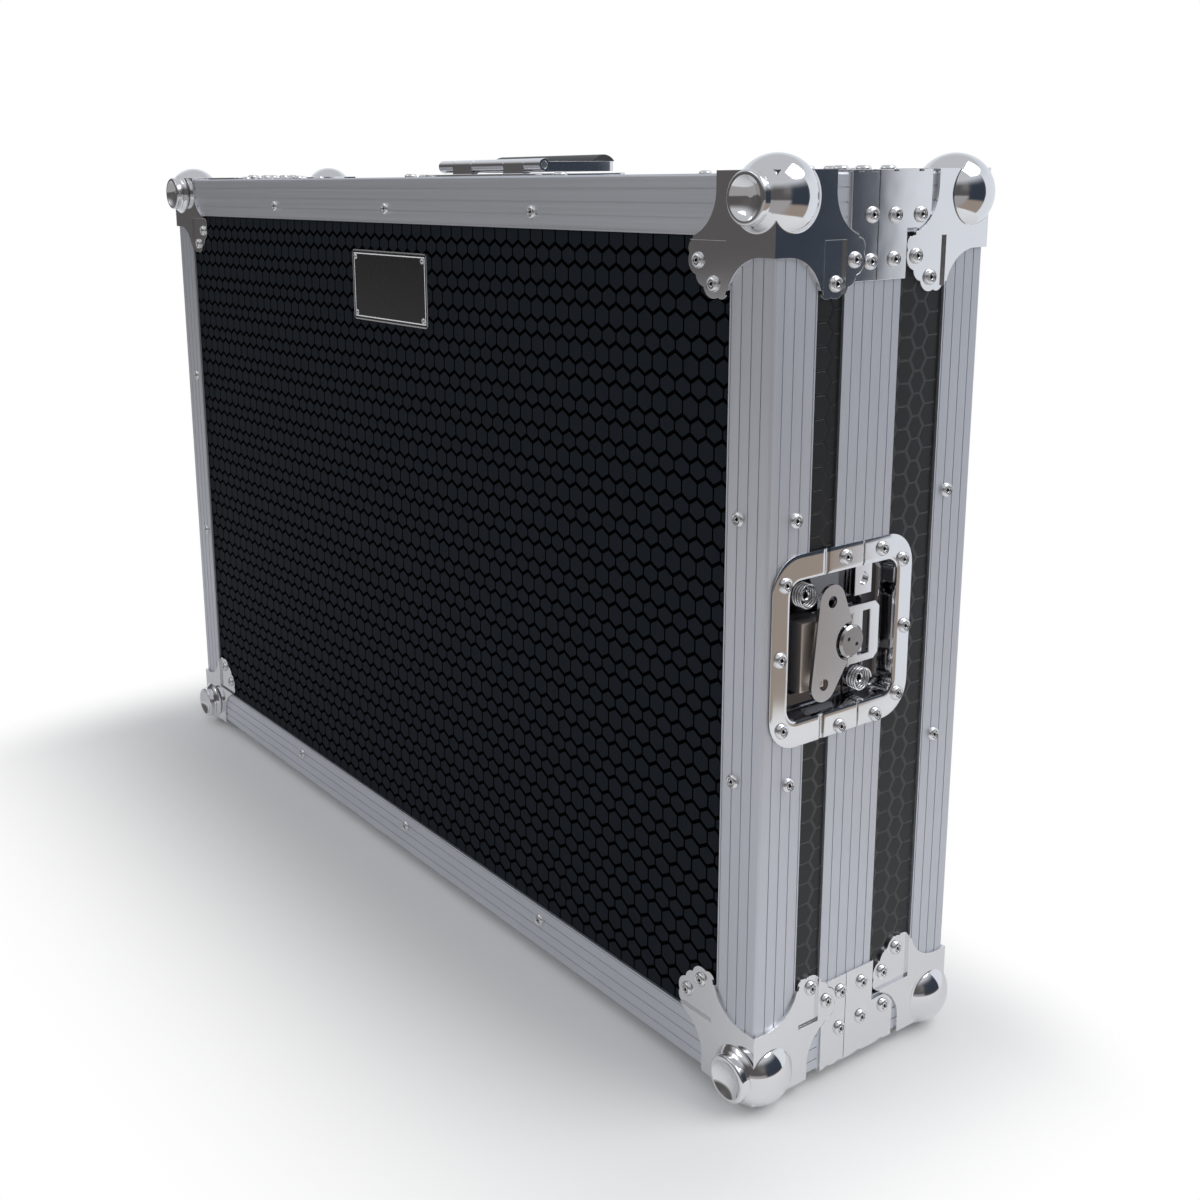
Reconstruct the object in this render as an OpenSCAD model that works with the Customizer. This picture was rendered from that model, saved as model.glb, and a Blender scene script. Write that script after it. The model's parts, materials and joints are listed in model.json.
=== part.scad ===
// Flight case with a lift-off lid, standing on its long edge, in millimetres.
// X runs along the case, Y from the lid at the front to the base behind, Z up.
// The origin is under the middle of the case, at the foot of the ball corners.

/* [Case] */
// Width of the case over its edge angles
case_w = 733; // [500:1:1200]
// Height of the case as it stands, over its edge angles
case_h = 492; // [330:1:800]
// Depth of the lid, from its front to the seam
lid_d = 70; // [66:1:140]
// Depth of the base, from the seam to its back
base_d = 84.6; // [84:0.2:140]
// Gap between the closed lid and the base
seam_gap = 0.4; // [0.2:0.1:1]

/* [Panels] */
// Thickness of the laminated panels
panel_t = 7; // [5:0.5:12]
// Wall of the aluminium edge angles, by which the panels lie deeper
angle_t = 1.5; // [1:0.1:2.5]
// Width of each flange of the edge angles
angle_w = 30; // [26:1:36]
// Reach of the inner lips that grip the panels
lip_w = 20; // [14:1:26]
// Wall of the inner lips
lip_t = 1.2; // [0.8:0.1:2]
// Clearance between a panel and the slots that hold it
panel_fit = 0.1; // [0.05:0.01:0.3]
// Radius of the outer corner of the edge angles
angle_r = 1.6; // [0.5:0.1:3]
// Spacing of the fine grooves along the flanges
groove_pitch = 7.2; // [5:0.1:10]
// Width of a fine groove
groove_w = 0.7; // [0.3:0.1:1.2]
// Depth of a fine groove
groove_d = 0.45; // [0.2:0.05:0.8]

/* [Closure] */
// Width of the flange of the groove frame on the lid
lid_rim_w = 21; // [18:0.5:24]
// Width of the flange of the tongue frame on the base
base_rim_w = 20; // [16:0.5:24]
// Height of the tongue that enters the lid
tongue_h = 5; // [3:0.5:7]
// Thickness of the tongue
tongue_t = 3; // [2:0.1:4]
// Clearance around the tongue in its groove
tongue_fit = 0.3; // [0.2:0.05:0.6]
// Wall between the groove and the edge of the panel
rim_wall = 1.2; // [0.8:0.1:2]
// Reach of the inner flanges of both frames
rim_lip = 12; // [8:1:16]

/* [Ball corners] */
// Radius of the ball
ball_r = 21; // [18:0.5:23]
// Depth of the ball's centre under each face
ball_inset = 11.5; // [10:0.5:14]
// Thickness of the pressed corner plates
corner_t = 1.5; // [1:0.1:2]
// Reach of a corner plate along the edges
corner_reach = 39.7; // [36:0.1:42]
// Radius of the arch between an edge and an ear
arch_r = 23.3; // [20:0.1:25]
// Distance of the arch's centre along the edge
arch_along = 63; // [60:0.5:66]
// Distance of the far rivet of an ear from the edge
ear_far = 53.6; // [50:0.2:55]
// Distance of the near rivet of an ear from the edge
ear_near = 42.3; // [40:0.2:44]
// Radius of the lobe round an ear's rivet
ear_r = 7.4; // [7:0.1:7.6]
// Radius of the stacking dimple's rim on the lid's balls
dimple_rim_r = 13.3; // [12:0.1:14]
// Radius of the dimple's hollow
dimple_r = 10.8; // [9:0.1:11.4]
// Depth of the dimple's hollow
dimple_depth = 4; // [2:0.5:6]
// Width of the flat land on the dimple's rim, on which the case lies
dimple_land = 1; // [0.5:0.1:1.5]

/* [Corner braces] */
// Thickness of the braces beside the seam
brace_t = 1.2; // [0.8:0.1:1.5]
// Width of the lid's braces, from the seam
lid_brace_w = 19; // [16:0.5:20]
// Width of the base's braces, from the seam
base_brace_w = 22; // [18:0.5:23]
// Gap between the wide foot of the base's braces and the ball corners
brace_foot_gap = 4.9; // [1:0.1:8]
// Reach of the wide foot from the corner
brace_foot_reach = 28; // [24:0.5:30]
// Reach of the braces from the corner
brace_reach = 53.3; // [48:0.1:58]

/* [Latches] */
// Height of the latches above the underside of the case
latch_z = 251; // [160:1:400]
// Width of the whole dish across the seam
dish_w = 105.8; // [104:0.2:108]
// Height of the dish
dish_h = 104.5; // [102:0.5:112]
// Distance of the dish's edge from the front of the lid
dish_edge = 2.9; // [2:0.1:4]
// Radius of the dish's outer corners
dish_r = 19; // [16:0.5:20]
// Width of the dish's flange at the lid's front
flange_near = 14; // [13:0.1:14.5]
// Width of the dish's flange at the far end of the base
flange_far = 8.8; // [8.6:0.1:9.4]
// Width of the dish's flange above and below the mouth
flange_side = 11.3; // [11:0.1:12]
// Sheet thickness of the dish
dish_t = 1.2; // [1:0.1:1.5]
// Depth of the dish's floor under the face of the case
dish_depth = 11; // [10.5:0.1:13]
// Distance of the turning knob from the seam
knob_back = 8.5; // [8.5:0.1:9.5]
// Radius of the knob
knob_r = 9; // [8:0.1:9.2]
// Height of the knob's top above the face of the case
knob_top = 3.4; // [2.8:0.1:5]
// Height of the wing plate's top above the face of the case
wing_top = 1.6; // [1.4:0.1:2]
// Thickness of the wing plate
wing_t = 2; // [1.5:0.1:2]
// Distance of the wing's holes from the knob, across
wing_lobe_across = 16.8; // [15:0.1:17]
// Distance of the wing's holes from the knob, up and down
wing_lobe_up = 22.3; // [21:0.1:22.5]
// Radius of the wing's two lobes
wing_lobe_r = 9.3; // [8.5:0.1:9.4]
// Radius of the holes in the wing's lobes
wing_hole_r = 3.2; // [2.5:0.1:4]
// Lean of the closed wing
wing_lean = 5.8; // [0:0.1:8]
// Pull of the hook as the knob makes half a turn
hook_throw = 6; // [5:0.5:6]
// Width of the bar that closes the hook's loop
hook_bar = 7.4; // [4:0.1:8]
// Width of the slot between the keeper's lug and the hook's bar
hook_slot = 2.9; // [1:0.1:4]
// Chamfer of the hook's outer corners
hook_chamfer = 3.4; // [1:0.1:5]
// Height of the side tabs in the keeper's dish
tab_h = 17.7; // [12:0.1:19]
// Radius of the hole in a side tab
tab_hole_r = 3.5; // [2:0.1:4]
// Depth of the lines pressed across the dish's flange
crease_r = 0.7; // [0.3:0.1:0.8]
// Clearance between the latch's moving pieces
latch_fit = 0.3; // [0.2:0.05:0.35]

/* [Handle] */
// Length of the handle's plate along the case
handle_w = 164; // [140:1:170]
// Depth of the handle's plate
handle_d = 68; // [66:0.5:72]
// Distance of the handle's plate from the seam
handle_back = 7.5; // [6:0.5:9]
// Thickness of the handle's plate
handle_t = 1.6; // [1.2:0.1:2.5]
// Distance of the handle's pivot from its plate's front edge
pivot_in = 9; // [8:0.5:12]
// Outer radius of the knuckles at the pivot
knuckle_r = 4.3; // [4:0.1:5]
// Height of the pivot above the handle's plate
pivot_up = 5.6; // [5.6:0.1:7]
// Radius of the pivot rod
axle_r = 2.4; // [2:0.1:2.8]
// Half the length of the pivot, out to the bail's ends
pivot_half = 63.5; // [60:0.5:66]
// Half the length of the sleeve in the middle of the pivot
sleeve_half = 20; // [16:0.5:24]
// Length of each of the plate's two knuckles
plate_knuckle = 24; // [18:0.5:25]
// Distance of the grip's middle behind the pivot
grip_back = 52; // [48:0.5:54]
// Width of the grip
grip_w = 20; // [16:0.5:22]
// Height of the bail's arms and bar
arm_h = 6.8; // [5:0.1:7]
// Width of the bail's arms
arm_w = 6; // [4:0.5:10]
// Thickness of the moulded grip on the bail's bar
grip_h = 4.6; // [3:0.1:6]

/* [Foam] */
// Number of cubes of pick foam along the case
pick_columns = 24; // [12:1:28]
// Number of cubes of pick foam up the case
pick_rows = 16; // [8:1:20]
// Width of the cuts between the cubes
pick_cut_w = 0.8; // [0.5:0.1:1.5]
// Depth of the cuts between the cubes
pick_cut_d = 9; // [4:0.5:20]
// Distance of the pick foam's face behind the seam
pick_below = 6; // [4:0.5:12]
// Thickness of the plain pad behind the pick foam
pad_t = 12; // [8:1:20]
// Thickness of the lid's convoluted foam under its waves
wave_floor = 10; // [6:1:16]
// Height of the waves of the lid's foam
wave_h = 20; // [12:1:24]
// Target length of a wave
wave_pitch = 75; // [60:1:110]

/* [Fasteners] */
// Radius of a rivet's head
rivet_r = 4.2; // [3.6:0.1:4.4]
// Height of a rivet's head
rivet_h = 2.1; // [1.5:0.1:2.6]
// Radius of the hollow in a rivet's head
rivet_hollow_r = 1.4; // [1:0.1:1.6]
// Distance of the rivet rows from the outer edges
rivet_row = 20.5; // [18:0.5:24]
// Distance of the rivet rows on the ends from the upright edges
end_rivet_row = 19.5; // [18:0.5:24]
// Spacing of the rivets along the long edges
rivet_pitch = 170; // [120:1:200]
// Distance of the rivets on the upright edges from the latch's height
rivet_rise = 71; // [62:1:90]

/* [Name plate] */
// Width of the bare plate on the lid's front
plate_w = 100; // [60:1:120]
// Height of the plate
plate_h = 49; // [30:1:60]
// Distance of the plate's top below the top of the case
plate_down = 49; // [44:1:90]
// Thickness of the plate
plate_t = 1; // [0.6:0.1:1.4]
// Radius of the plate's corners
plate_r = 3; // [1:0.5:6]
// Inset of the plate's small rivets
plate_rivet_inset = 5; // [4:0.5:8]
// Radius of the plate's small rivets
plate_rivet_r = 2; // [1.5:0.1:2.5]

/* [Hidden] */
$fn = 48;

// One overrun for every cut
over = 1;
case_d = lid_d + seam_gap + base_d;
base_y = lid_d + seam_gap;
ball_out = ball_r - ball_inset;
panel_in = angle_t + panel_t;
lip_in = panel_in + panel_fit + lip_t;
slot_end = lip_in + panel_fit;
wall_len_x = case_w - 2 * slot_end;
groove_depth = tongue_h + tongue_fit;
lid_wall_end = lid_d - groove_depth - rim_wall - panel_fit;
base_wall_start = base_y + angle_t + panel_fit;
rim_in = panel_in + panel_fit + rim_wall;
tongue_mid = angle_t + panel_t / 2;

// Ball corner
ear_mid_share = 0.1;
ear_mid_r_share = 0.9;
shoulder_r_share = 0.64;
shoulder_side_share = 0.8;
arch_side_share = 0.2;
ear_mid = (ear_far + ear_near) / 2 + ear_mid_share * ear_r;
ear_mid_r = ear_mid_r_share * ear_r;
shoulder_r = shoulder_r_share * ear_r;
shoulder_out = ear_far + ear_r - shoulder_r;
shoulder_side = ear_near - shoulder_side_share * ear_r;
arch_side = arch_side_share * corner_reach;
step_at = angle_w + corner_t / 2;
step_wall = corner_t;

// Braces: the foot runs from the seam to its gap before the ball corner.
// Slots are placed as shares of the brace's width, rivets as shares of its width and its reach.
base_brace_foot = base_d - corner_reach - brace_foot_gap;
brace_slot_w = 3.4;
brace_slot_len = 12;
brace_slot_t = 1.44;
lid_slot_shares = [0.2, 0.7];
base_slot_shares = [0.29, 0.77];
lid_brace_rivet_shares = [[0.24, 0.39], [0.24, 0.82]];
base_brace_rivet_shares = [[0.313, 0.4], [0.313, 0.81], [0.79, 0.4]];

// Latch
dish_far = dish_edge + dish_w;
mouth_near = dish_edge + flange_near;
mouth_far = dish_far - flange_far;
mouth_w = mouth_far - mouth_near;
mouth_h = dish_h - 2 * flange_side;
mouth_r = 8;
dish_seam_rivet = 13.8;
// Places of the corner rivets as shares of the dish's corner radius, on the lid and on the base
dish_rivet_shares = [[0.5, 0.7], [0.42, 0.75]];
crease_y = mouth_near + 25.3;
cut_fit = 0.3;
cut_near = mouth_near - dish_t - cut_fit;
cut_far = mouth_far + dish_t + cut_fit;
cut_half = mouth_h / 2 + dish_t + cut_fit;
knob_y = lid_d - knob_back;
wing_axis_r = 2.4;
wing_axis_w = wing_top - wing_axis_r;
pin_r = 1.3;
pin_fit = 0.05;
notch_gap = 1.8;
notch_r = knob_r + notch_gap;
wing_cheek_gap = 0.4;
wing_cheek = knob_r + wing_cheek_gap;
wing_ear_len = 4.8;
pin_half = wing_cheek + wing_ear_len;
knob_bottom = wing_axis_w - wing_axis_r - latch_fit;
cam_r = 8;
cam_throw = hook_throw / 2;
hook_t = 2;
hook_top = knob_bottom - latch_fit;
hook_bottom = hook_top - hook_t;
cam_bottom = hook_bottom - latch_fit;
post_r = 4;
post_fit = 0.05;
boss_r = 6.5;
hook_end_gap = 4;
hook_end = mouth_far - hook_throw - hook_end_gap;
// Half heights of the hook and of its two windows, as shares of the mouth's height
hook_half_share = 0.2;
hook_window_share = 0.149;
hook_half = hook_half_share * mouth_h;
hook_window_half = hook_window_share * mouth_h;
hook_corner_r = 2;
hook_window_gap = 3.2;
hook_window_near = base_y + hook_window_gap;
hook_window_far = hook_end - hook_bar;
hook_tail_wall = 4;
hook_tail = knob_y - cam_r - cam_throw - hook_tail_wall;
lug_near = hook_window_near + latch_fit;
lug_far = hook_window_far - hook_slot;
lug_top = hook_bottom - latch_fit;
tab_w = 13;
tab_in = 1.2;
tab_rise_share = 0.5;
stop_w = 13;
stop_h = 34;
stop_wall = 2.6;
stop_low_share = 0.6;
post_rise_share = 0.68;
spanner_shares = [0.34, 0.2];
spanner_r = 1.1;
knob_chamfer = 1.2;
foot_t = 1;
latch_coil_r = 4.9;
latch_wire_r = 0.6;
latch_coil_turns = 4;
latch_coil_pitch = 1.75;
// Places of the two spring posts, as shares of the dish's mouth
post_shares = [[0.13, 0.8], [0.54, 0.21]];

// Handle
handle_y = base_y + handle_back;
pivot_y = handle_y + pivot_in;
pivot_z = case_h + handle_t + pivot_up;
knuckle_gap = 0.3;
bail_from = sleeve_half + plate_knuckle + 2 * knuckle_gap;
bail_low = pivot_z - knuckle_r - knuckle_gap;
grip_end_gap = 1.5;
grip_half = pivot_half - grip_end_gap;
grip_side_gap = 0.5;
rod_end_gap = 0.5;
cheek_share = 0.6;

// Foam
foam_gap = 0.3;
foam_side = rim_in + foam_gap;
pick_front = base_y + pick_below;
pad_back = case_d - lip_in - foam_gap / 3;
pick_back = pad_back - pad_t - foam_gap / 3;
wave_back = lip_in + foam_gap / 3;
dish_foam_gap = 3.8;
wave_side_x = dish_depth + dish_t + dish_foam_gap;
waves_x = round((case_w - 2 * wave_side_x) / wave_pitch);
waves_z = round((case_h - 2 * foam_side) / wave_pitch);
samples = 4;

alu = "silver";
board = [0.07, 0.07, 0.08];
chrome = "lightgray";
steel = "gainsboro";
foam_colour = [0.16, 0.16, 0.17];

// Moves a piece drawn from the lid's front and the case's underside to the shared frame
module placed() {
    translate([0, -case_d / 2, ball_out]) children();
}

// Turns a piece drawn inwards from a corner of the case towards the named corner
module octant(side, rear, top) {
    translate([side * case_w / 2, rear * case_d, top * case_h])
        mirror([side > 0 ? 1 : 0, 0, 0])
            mirror([0, rear, 0])
                mirror([0, 0, top])
                    children();
}

// A piece on an end face: x is depth from the lid's front, y is height from the latch, z is outwards
module at_latch(side) {
    mirror([side < 0 ? 1 : 0, 0, 0])
        translate([case_w / 2, 0, latch_z])
            rotate([90, 0, 90])
                children();
}

// A block between two opposite corners
module block(low, high) {
    translate(low) cube(high - low);
}

// An upright rectangle with round corners, from its low corner
module round_rect(w, h, r) {
    translate([r, 0]) square([w - 2 * r, h]);
    translate([0, r]) square([w, h - 2 * r]);
    for (x = [r, w - r], y = [r, h - r])
        translate([x, y]) circle(r);
}

// Row of fine grooves across a flange that runs along x, on its outer side at y = 0
module groove_row(first, width) {
    for (x = [first : groove_pitch : width - groove_w])
        translate([x - groove_w / 2, -over]) square([groove_w, over + groove_d]);
}

// Section of an edge angle, with its outer corner at the origin and both flanges inwards
module angle_profile() {
    difference() {
        union() {
            square([angle_w, angle_t]);
            square([angle_t, angle_w]);
            difference() {
                square([lip_in, lip_in]);
                translate([angle_t, angle_t]) square([lip_in - angle_t - lip_t, lip_in - angle_t - lip_t]);
            }
            translate([0, lip_in - lip_t]) square([lip_w, lip_t]);
            translate([lip_in - lip_t, 0]) square([lip_t, lip_w]);
        }
        difference() {
            translate([-over, -over]) square([angle_r + over, angle_r + over]);
            translate([angle_r, angle_r]) circle(angle_r);
        }
        translate([lip_in, angle_t]) square([lip_w, panel_t + panel_fit]);
        translate([angle_t, lip_in]) square([panel_t + panel_fit, lip_w]);
        groove_row(groove_pitch, angle_w);
        mirror([1, -1]) groove_row(groove_pitch, angle_w);
    }
}

// Space that the dish takes out of the walls and edges of one end
module dish_cut(side) {
    at_latch(side)
        translate([cut_near, -cut_half, -lip_w])
            cube([cut_far - cut_near, 2 * cut_half, lip_w + over]);
}

module both_dish_cuts() {
    for (side = [-1, 1]) dish_cut(side);
}

// Edge angle along X at the named corner edge
module edge_x(rear, top) {
    octant(-1, rear, top)
        translate([angle_w, 0, 0])
            rotate([90, 0, 90])
                linear_extrude(case_w - 2 * angle_w)
                    angle_profile();
}

// Upright edge angle, cut away for the latch's dish
module edge_z(side, rear) {
    difference() {
        octant(side, rear, 0)
            translate([0, 0, angle_w])
                linear_extrude(case_h - 2 * angle_w)
                    angle_profile();
        dish_cut(side);
    }
}

// Short edge angles between the corners and the closure frame
module short_edges(rear, reach) {
    for (side = [-1, 1], top = [0, 1])
        octant(side, rear, top)
            translate([0, reach, 0])
                rotate([90, 0, 0])
                    linear_extrude(reach - angle_w)
                        angle_profile();
}

// Section of the lid's groove frame: x is depth from the outer face, y is distance from the seam
module lid_rim_profile() {
    difference() {
        union() {
            square([angle_t, lid_rim_w]);
            square([rim_in, groove_depth + rim_wall]);
            translate([rim_in - rim_wall, 0]) square([rim_wall, rim_lip]);
        }
        translate([tongue_mid - tongue_t / 2 - tongue_fit, -over])
            square([tongue_t + 2 * tongue_fit, groove_depth + over]);
        mirror([1, -1]) groove_row(groove_pitch, lid_rim_w);
    }
}

// Section of the base's tongue frame, with its tongue below the seam line
module base_rim_profile() {
    difference() {
        union() {
            square([angle_t, base_rim_w]);
            square([rim_in, angle_t]);
            translate([tongue_mid - tongue_t / 2, -tongue_h - seam_gap + tongue_fit])
                square([tongue_t, tongue_h + seam_gap]);
            translate([rim_in - rim_wall, 0]) square([rim_wall, rim_lip]);
        }
        mirror([1, -1]) groove_row(groove_pitch, base_rim_w);
    }
}

// Four bars round the case with mitred ends, drawn from the seam plane towards +Y
module rim_frame() {
    for (turn = [0, 1], flip = [0, 1]) {
        long = turn == 0 ? case_w : case_h;
        across = turn == 0 ? case_h : case_w;
        translate([0, 0, case_h / 2])
            rotate([0, 90 * turn, 0])
                mirror([0, 0, flip])
                    translate([-long / 2, 0, -across / 2])
                        difference() {
                            rotate([0, 90, 0])
                                mirror([1, 0, 0])
                                    linear_extrude(long)
                                        children();
                            for (end = [0, 1])
                                translate([end * long, 0, 0])
                                    mirror([end, 0, 0])
                                        rotate([0, -45, 0])
                                            translate([-2 * rim_in, -lid_d / 2, 0])
                                                cube([4 * rim_in, lid_d, 4 * rim_in]);
                        }
    }
}

// Outline of one plate of a ball corner, from the corner of the case, grown by a clearance
module corner_outline(grow) {
    difference() {
        union() {
            polygon([[-corner_t, -corner_t], [shoulder_out, -corner_t], [shoulder_out, shoulder_side],
                     [ear_far, ear_near], [ear_near, ear_far], [shoulder_side, shoulder_out],
                     [-corner_t, shoulder_out]]);
            for (p = [[ear_far, ear_near], [ear_near, ear_far]])
                translate(p) circle(ear_r + grow);
            translate([ear_mid, ear_mid]) circle(ear_mid_r + grow);
            for (p = [[shoulder_out, shoulder_side], [shoulder_side, shoulder_out]])
                translate(p) circle(shoulder_r + grow);
        }
        for (swap = [0, 1])
            mirror([swap, -swap]) {
                translate([arch_along, arch_side]) circle(arch_r - grow);
                translate([corner_reach + grow, -2 * corner_t]) square([arch_along, arch_side + 2 * corner_t]);
            }
    }
}

// One pressed plate: flat over the edge angles, its ear stepped down on to the panel
module corner_plate(panel_until) {
    difference() {
        union() {
            linear_extrude(corner_t)
                corner_outline(0);
            translate([0, 0, -angle_t])
                linear_extrude(angle_t + corner_t)
                    intersection() {
                        corner_outline(0);
                        translate([angle_w + panel_fit, angle_w + panel_fit])
                            square([panel_until - angle_w - 2 * panel_fit, ear_far]);
                    }
        }
        translate([step_at + step_wall, step_at + step_wall, corner_t - angle_t])
            cube([panel_until - 2 * step_wall - step_at, ear_far, angle_t + over]);
    }
}

// Raised rim and hollow of the stacking dimple, along z from the ball's outermost plane
module dimple_rim() {
    rim_round = dimple_rim_r - dimple_r - dimple_land;
    rotate_extrude() {
        square([dimple_rim_r - rim_round, ball_out + corner_t]);
        translate([0, rim_round]) square([dimple_rim_r, ball_out + corner_t - rim_round]);
        translate([dimple_rim_r - rim_round, rim_round]) circle(rim_round);
    }
}

// Pressed steel corner with its ball, drawn inwards from the corner of the case.
// seam_at is the depth at which the closure frame starts under the ears.
module ball_corner(seam_at, dimpled) {
    hollow_r = (pow(dimple_r, 2) + pow(dimple_depth, 2)) / (2 * dimple_depth);
    difference() {
        union() {
            difference() {
                union() {
                    translate([ball_inset, ball_inset, ball_inset]) sphere(ball_r, $fn = 96);
                    if (dimpled)
                        translate([ball_inset, -ball_out, ball_inset]) rotate([-90, 0, 0]) dimple_rim();
                }
                cube(3 * ball_r);
            }
            rotate([90, 0, 0]) corner_plate(arch_along + ear_r);
            mirror([1, 0, 0]) rotate([90, 0, 90]) corner_plate(seam_at);
            rotate(a = 180, v = [1, 1, 0]) corner_plate(seam_at);
        }
        if (dimpled)
            translate([ball_inset, -ball_out - hollow_r + dimple_depth, ball_inset])
                sphere(hollow_r, $fn = 96);
    }
}

// Outline of a brace on one face: x is distance from the seam, y is distance from the edge
module lid_brace_outline() {
    difference() {
        translate([0, -brace_t]) square([lid_brace_w, brace_reach + brace_t]);
        translate([lid_d, 0]) mirror([1, 0]) corner_outline(seam_gap);
    }
}

module base_brace_outline() {
    difference() {
        union() {
            translate([0, -brace_t]) square([base_brace_w, brace_reach + brace_t]);
            translate([0, -brace_t]) square([base_brace_foot, brace_foot_reach + brace_t]);
        }
        translate([base_d, 0]) mirror([1, 0]) corner_outline(2 * seam_gap);
    }
}

// Slots pressed across the bend of a brace
module brace_slots(width, shares) {
    for (share = shares)
        translate([share * width, 0, 0])
            rotate([45, 0, 0])
                cube([brace_slot_w, brace_slot_len, brace_slot_t], center = true);
}

// Angle-shaped brace over an edge, along x from the seam, with its faces towards -y and -z
module brace(width, shares) {
    difference() {
        union() {
            translate([0, 0, -brace_t]) linear_extrude(brace_t) children();
            rotate([90, 0, 0]) linear_extrude(brace_t) children();
        }
        brace_slots(width, shares);
    }
}

// Head of a blind rivet standing on a face, with the hollow of its mandrel
module rivet(r, h) {
    dome_r = (r * r + h * h) / (2 * h);
    hollow = rivet_hollow_r * r / rivet_r;
    rotate_extrude()
        difference() {
            intersection() {
                translate([0, h - dome_r]) circle(dome_r, $fn = 96);
                square([r, h]);
            }
            translate([0, h]) circle(hollow);
        }
}

// Puts rivets at points of a face that is drawn inwards from a corner: which = 0 for the front or
// back plate, 1 for the end plate, 2 for the top or bottom plate
module on_face(which, level) {
    if (which == 0)
        translate([0, -level, 0]) rotate([90, 0, 0]) children();
    if (which == 1)
        mirror([1, 0, 0]) translate([level, 0, 0]) rotate([90, 0, 90]) children();
    if (which == 2)
        translate([0, 0, -level]) rotate(a = 180, v = [1, 1, 0]) children();
}

// Rivets of one ball corner, two on each ear
module corner_rivets(seam_at) {
    for (which = [0, 1, 2], p = [[ear_far, ear_near], [ear_near, ear_far]])
        on_face(which, which > 0 && p[0] > seam_at ? corner_t : corner_t - angle_t)
            translate(p) rivet(rivet_r, rivet_h);
}

// Rivets along the edge angles of one half of the case
module edge_rivets(rear) {
    for (top = [0, 1], side = [-1, 0, 1])
        octant(-1, rear, top)
            translate([case_w / 2 + side * rivet_pitch, 0, 0]) {
                on_face(0, 0) translate([0, rivet_row]) rivet(rivet_r, rivet_h);
                if (rear == 0 || top == 0 || side != 0)
                    on_face(2, 0) translate([rivet_row, 0]) rivet(rivet_r, rivet_h);
            }
    for (side = [-1, 1], up = [-1, 1])
        octant(side, rear, 0)
            translate([0, 0, latch_z + up * rivet_rise]) {
                on_face(0, 0) translate([rivet_row, 0]) rivet(rivet_r, rivet_h);
                on_face(1, 0) translate([end_rivet_row, 0]) rivet(rivet_r, rivet_h);
            }
}

// Rivets of the braces at the four corners, from the seam and from the edge
module brace_rivets(rear, width, shares) {
    seam_depth = rear > 0 ? base_d : lid_d;
    for (side = [-1, 1], top = [0, 1], which = [1, 2], p = shares)
        octant(side, rear, top)
            on_face(which, brace_t)
                translate([seam_depth - p[0] * width, p[1] * brace_reach]) rivet(rivet_r, rivet_h);
}

// Outline of the whole dish, from the lid's front, and of its mouth
module dish_outline() {
    translate([dish_edge, -dish_h / 2]) round_rect(dish_w, dish_h, dish_r);
}

module mouth_outline(grow) {
    translate([mouth_near - grow, -mouth_h / 2 - grow])
        round_rect(mouth_w + 2 * grow, mouth_h + 2 * grow, mouth_r + grow);
}

// Pressed dish between two depths, open at the seam
module dish_half(from, to) {
    difference() {
        intersection() {
            union() {
                linear_extrude(dish_t) dish_outline();
                translate([0, 0, -dish_depth - dish_t])
                    linear_extrude(dish_depth + dish_t) mouth_outline(dish_t);
            }
            translate([from, -dish_h, -dish_depth - 2 * dish_t])
                cube([to - from, 2 * dish_h, dish_depth + 4 * dish_t]);
        }
        translate([0, 0, -dish_depth])
            linear_extrude(dish_depth + 2 * dish_t) mouth_outline(0);
    }
}

// Places of the dish's rivets: depth from the lid's front and height from the latch's middle
function dish_rivet_places() = [
    for (s = [-1, 1])
        [dish_edge + dish_rivet_shares[0][0] * dish_r, s * (dish_h / 2 - dish_rivet_shares[0][1] * dish_r)],
    [dish_edge + flange_near / 2, 0],
    for (s = [-1, 1]) [lid_d - dish_seam_rivet, s * (dish_h - flange_side) / 2],
    for (s = [-1, 1]) [base_y + dish_seam_rivet, s * (dish_h - flange_side) / 2],
    for (s = [-1, 1])
        [dish_far - dish_rivet_shares[1][0] * dish_r, s * (dish_h / 2 - dish_rivet_shares[1][1] * dish_r)],
    [dish_far - flange_far / 2, 0]
];

module dish_rivets(front) {
    for (side = [-1, 1], p = dish_rivet_places())
        if ((p[0] < lid_d) == front)
            at_latch(side) translate([p[0], p[1], dish_t]) rivet(rivet_r, rivet_h);
}

function post_place(i) = [mouth_near + post_shares[i][0] * mouth_w, (post_shares[i][1] - 0.5) * mouth_h];

// Lid half of the latch: dish with the rotor's boss, the spring posts and a raised stop frame
module latch_dish() {
    floor_w = -dish_depth;
    difference() {
        union() {
            dish_half(dish_edge - over, lid_d);
            translate([knob_y, 0, floor_w - dish_t / 2])
                cylinder(r = boss_r, h = dish_t / 2 + cam_bottom - latch_fit / 2 - floor_w);
            for (i = [0, 1])
                translate([post_place(i)[0], post_place(i)[1], floor_w - dish_t / 2])
                    cylinder(r = latch_coil_r - latch_wire_r - latch_fit, h = post_rise_share * dish_depth + dish_t / 2);
            translate([mouth_near + dish_t, -stop_low_share * stop_h, floor_w - dish_t / 2])
                difference() {
                    cube([stop_w, stop_h, 2 * dish_t]);
                    translate([stop_wall, stop_wall, dish_t / 2])
                        cube([stop_w - 2 * stop_wall, stop_h - 2 * stop_wall, 2 * dish_t]);
                }
        }
        translate([knob_y, 0, floor_w - 2 * dish_t])
            cylinder(r = post_r + post_fit, h = dish_depth);
        for (s = [-1, 1])
            translate([crease_y, s * (dish_h - flange_side) / 2, dish_t])
                rotate([90, 0, 0])
                    cylinder(r = crease_r, h = flange_side + over, center = true);
    }
}

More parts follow.
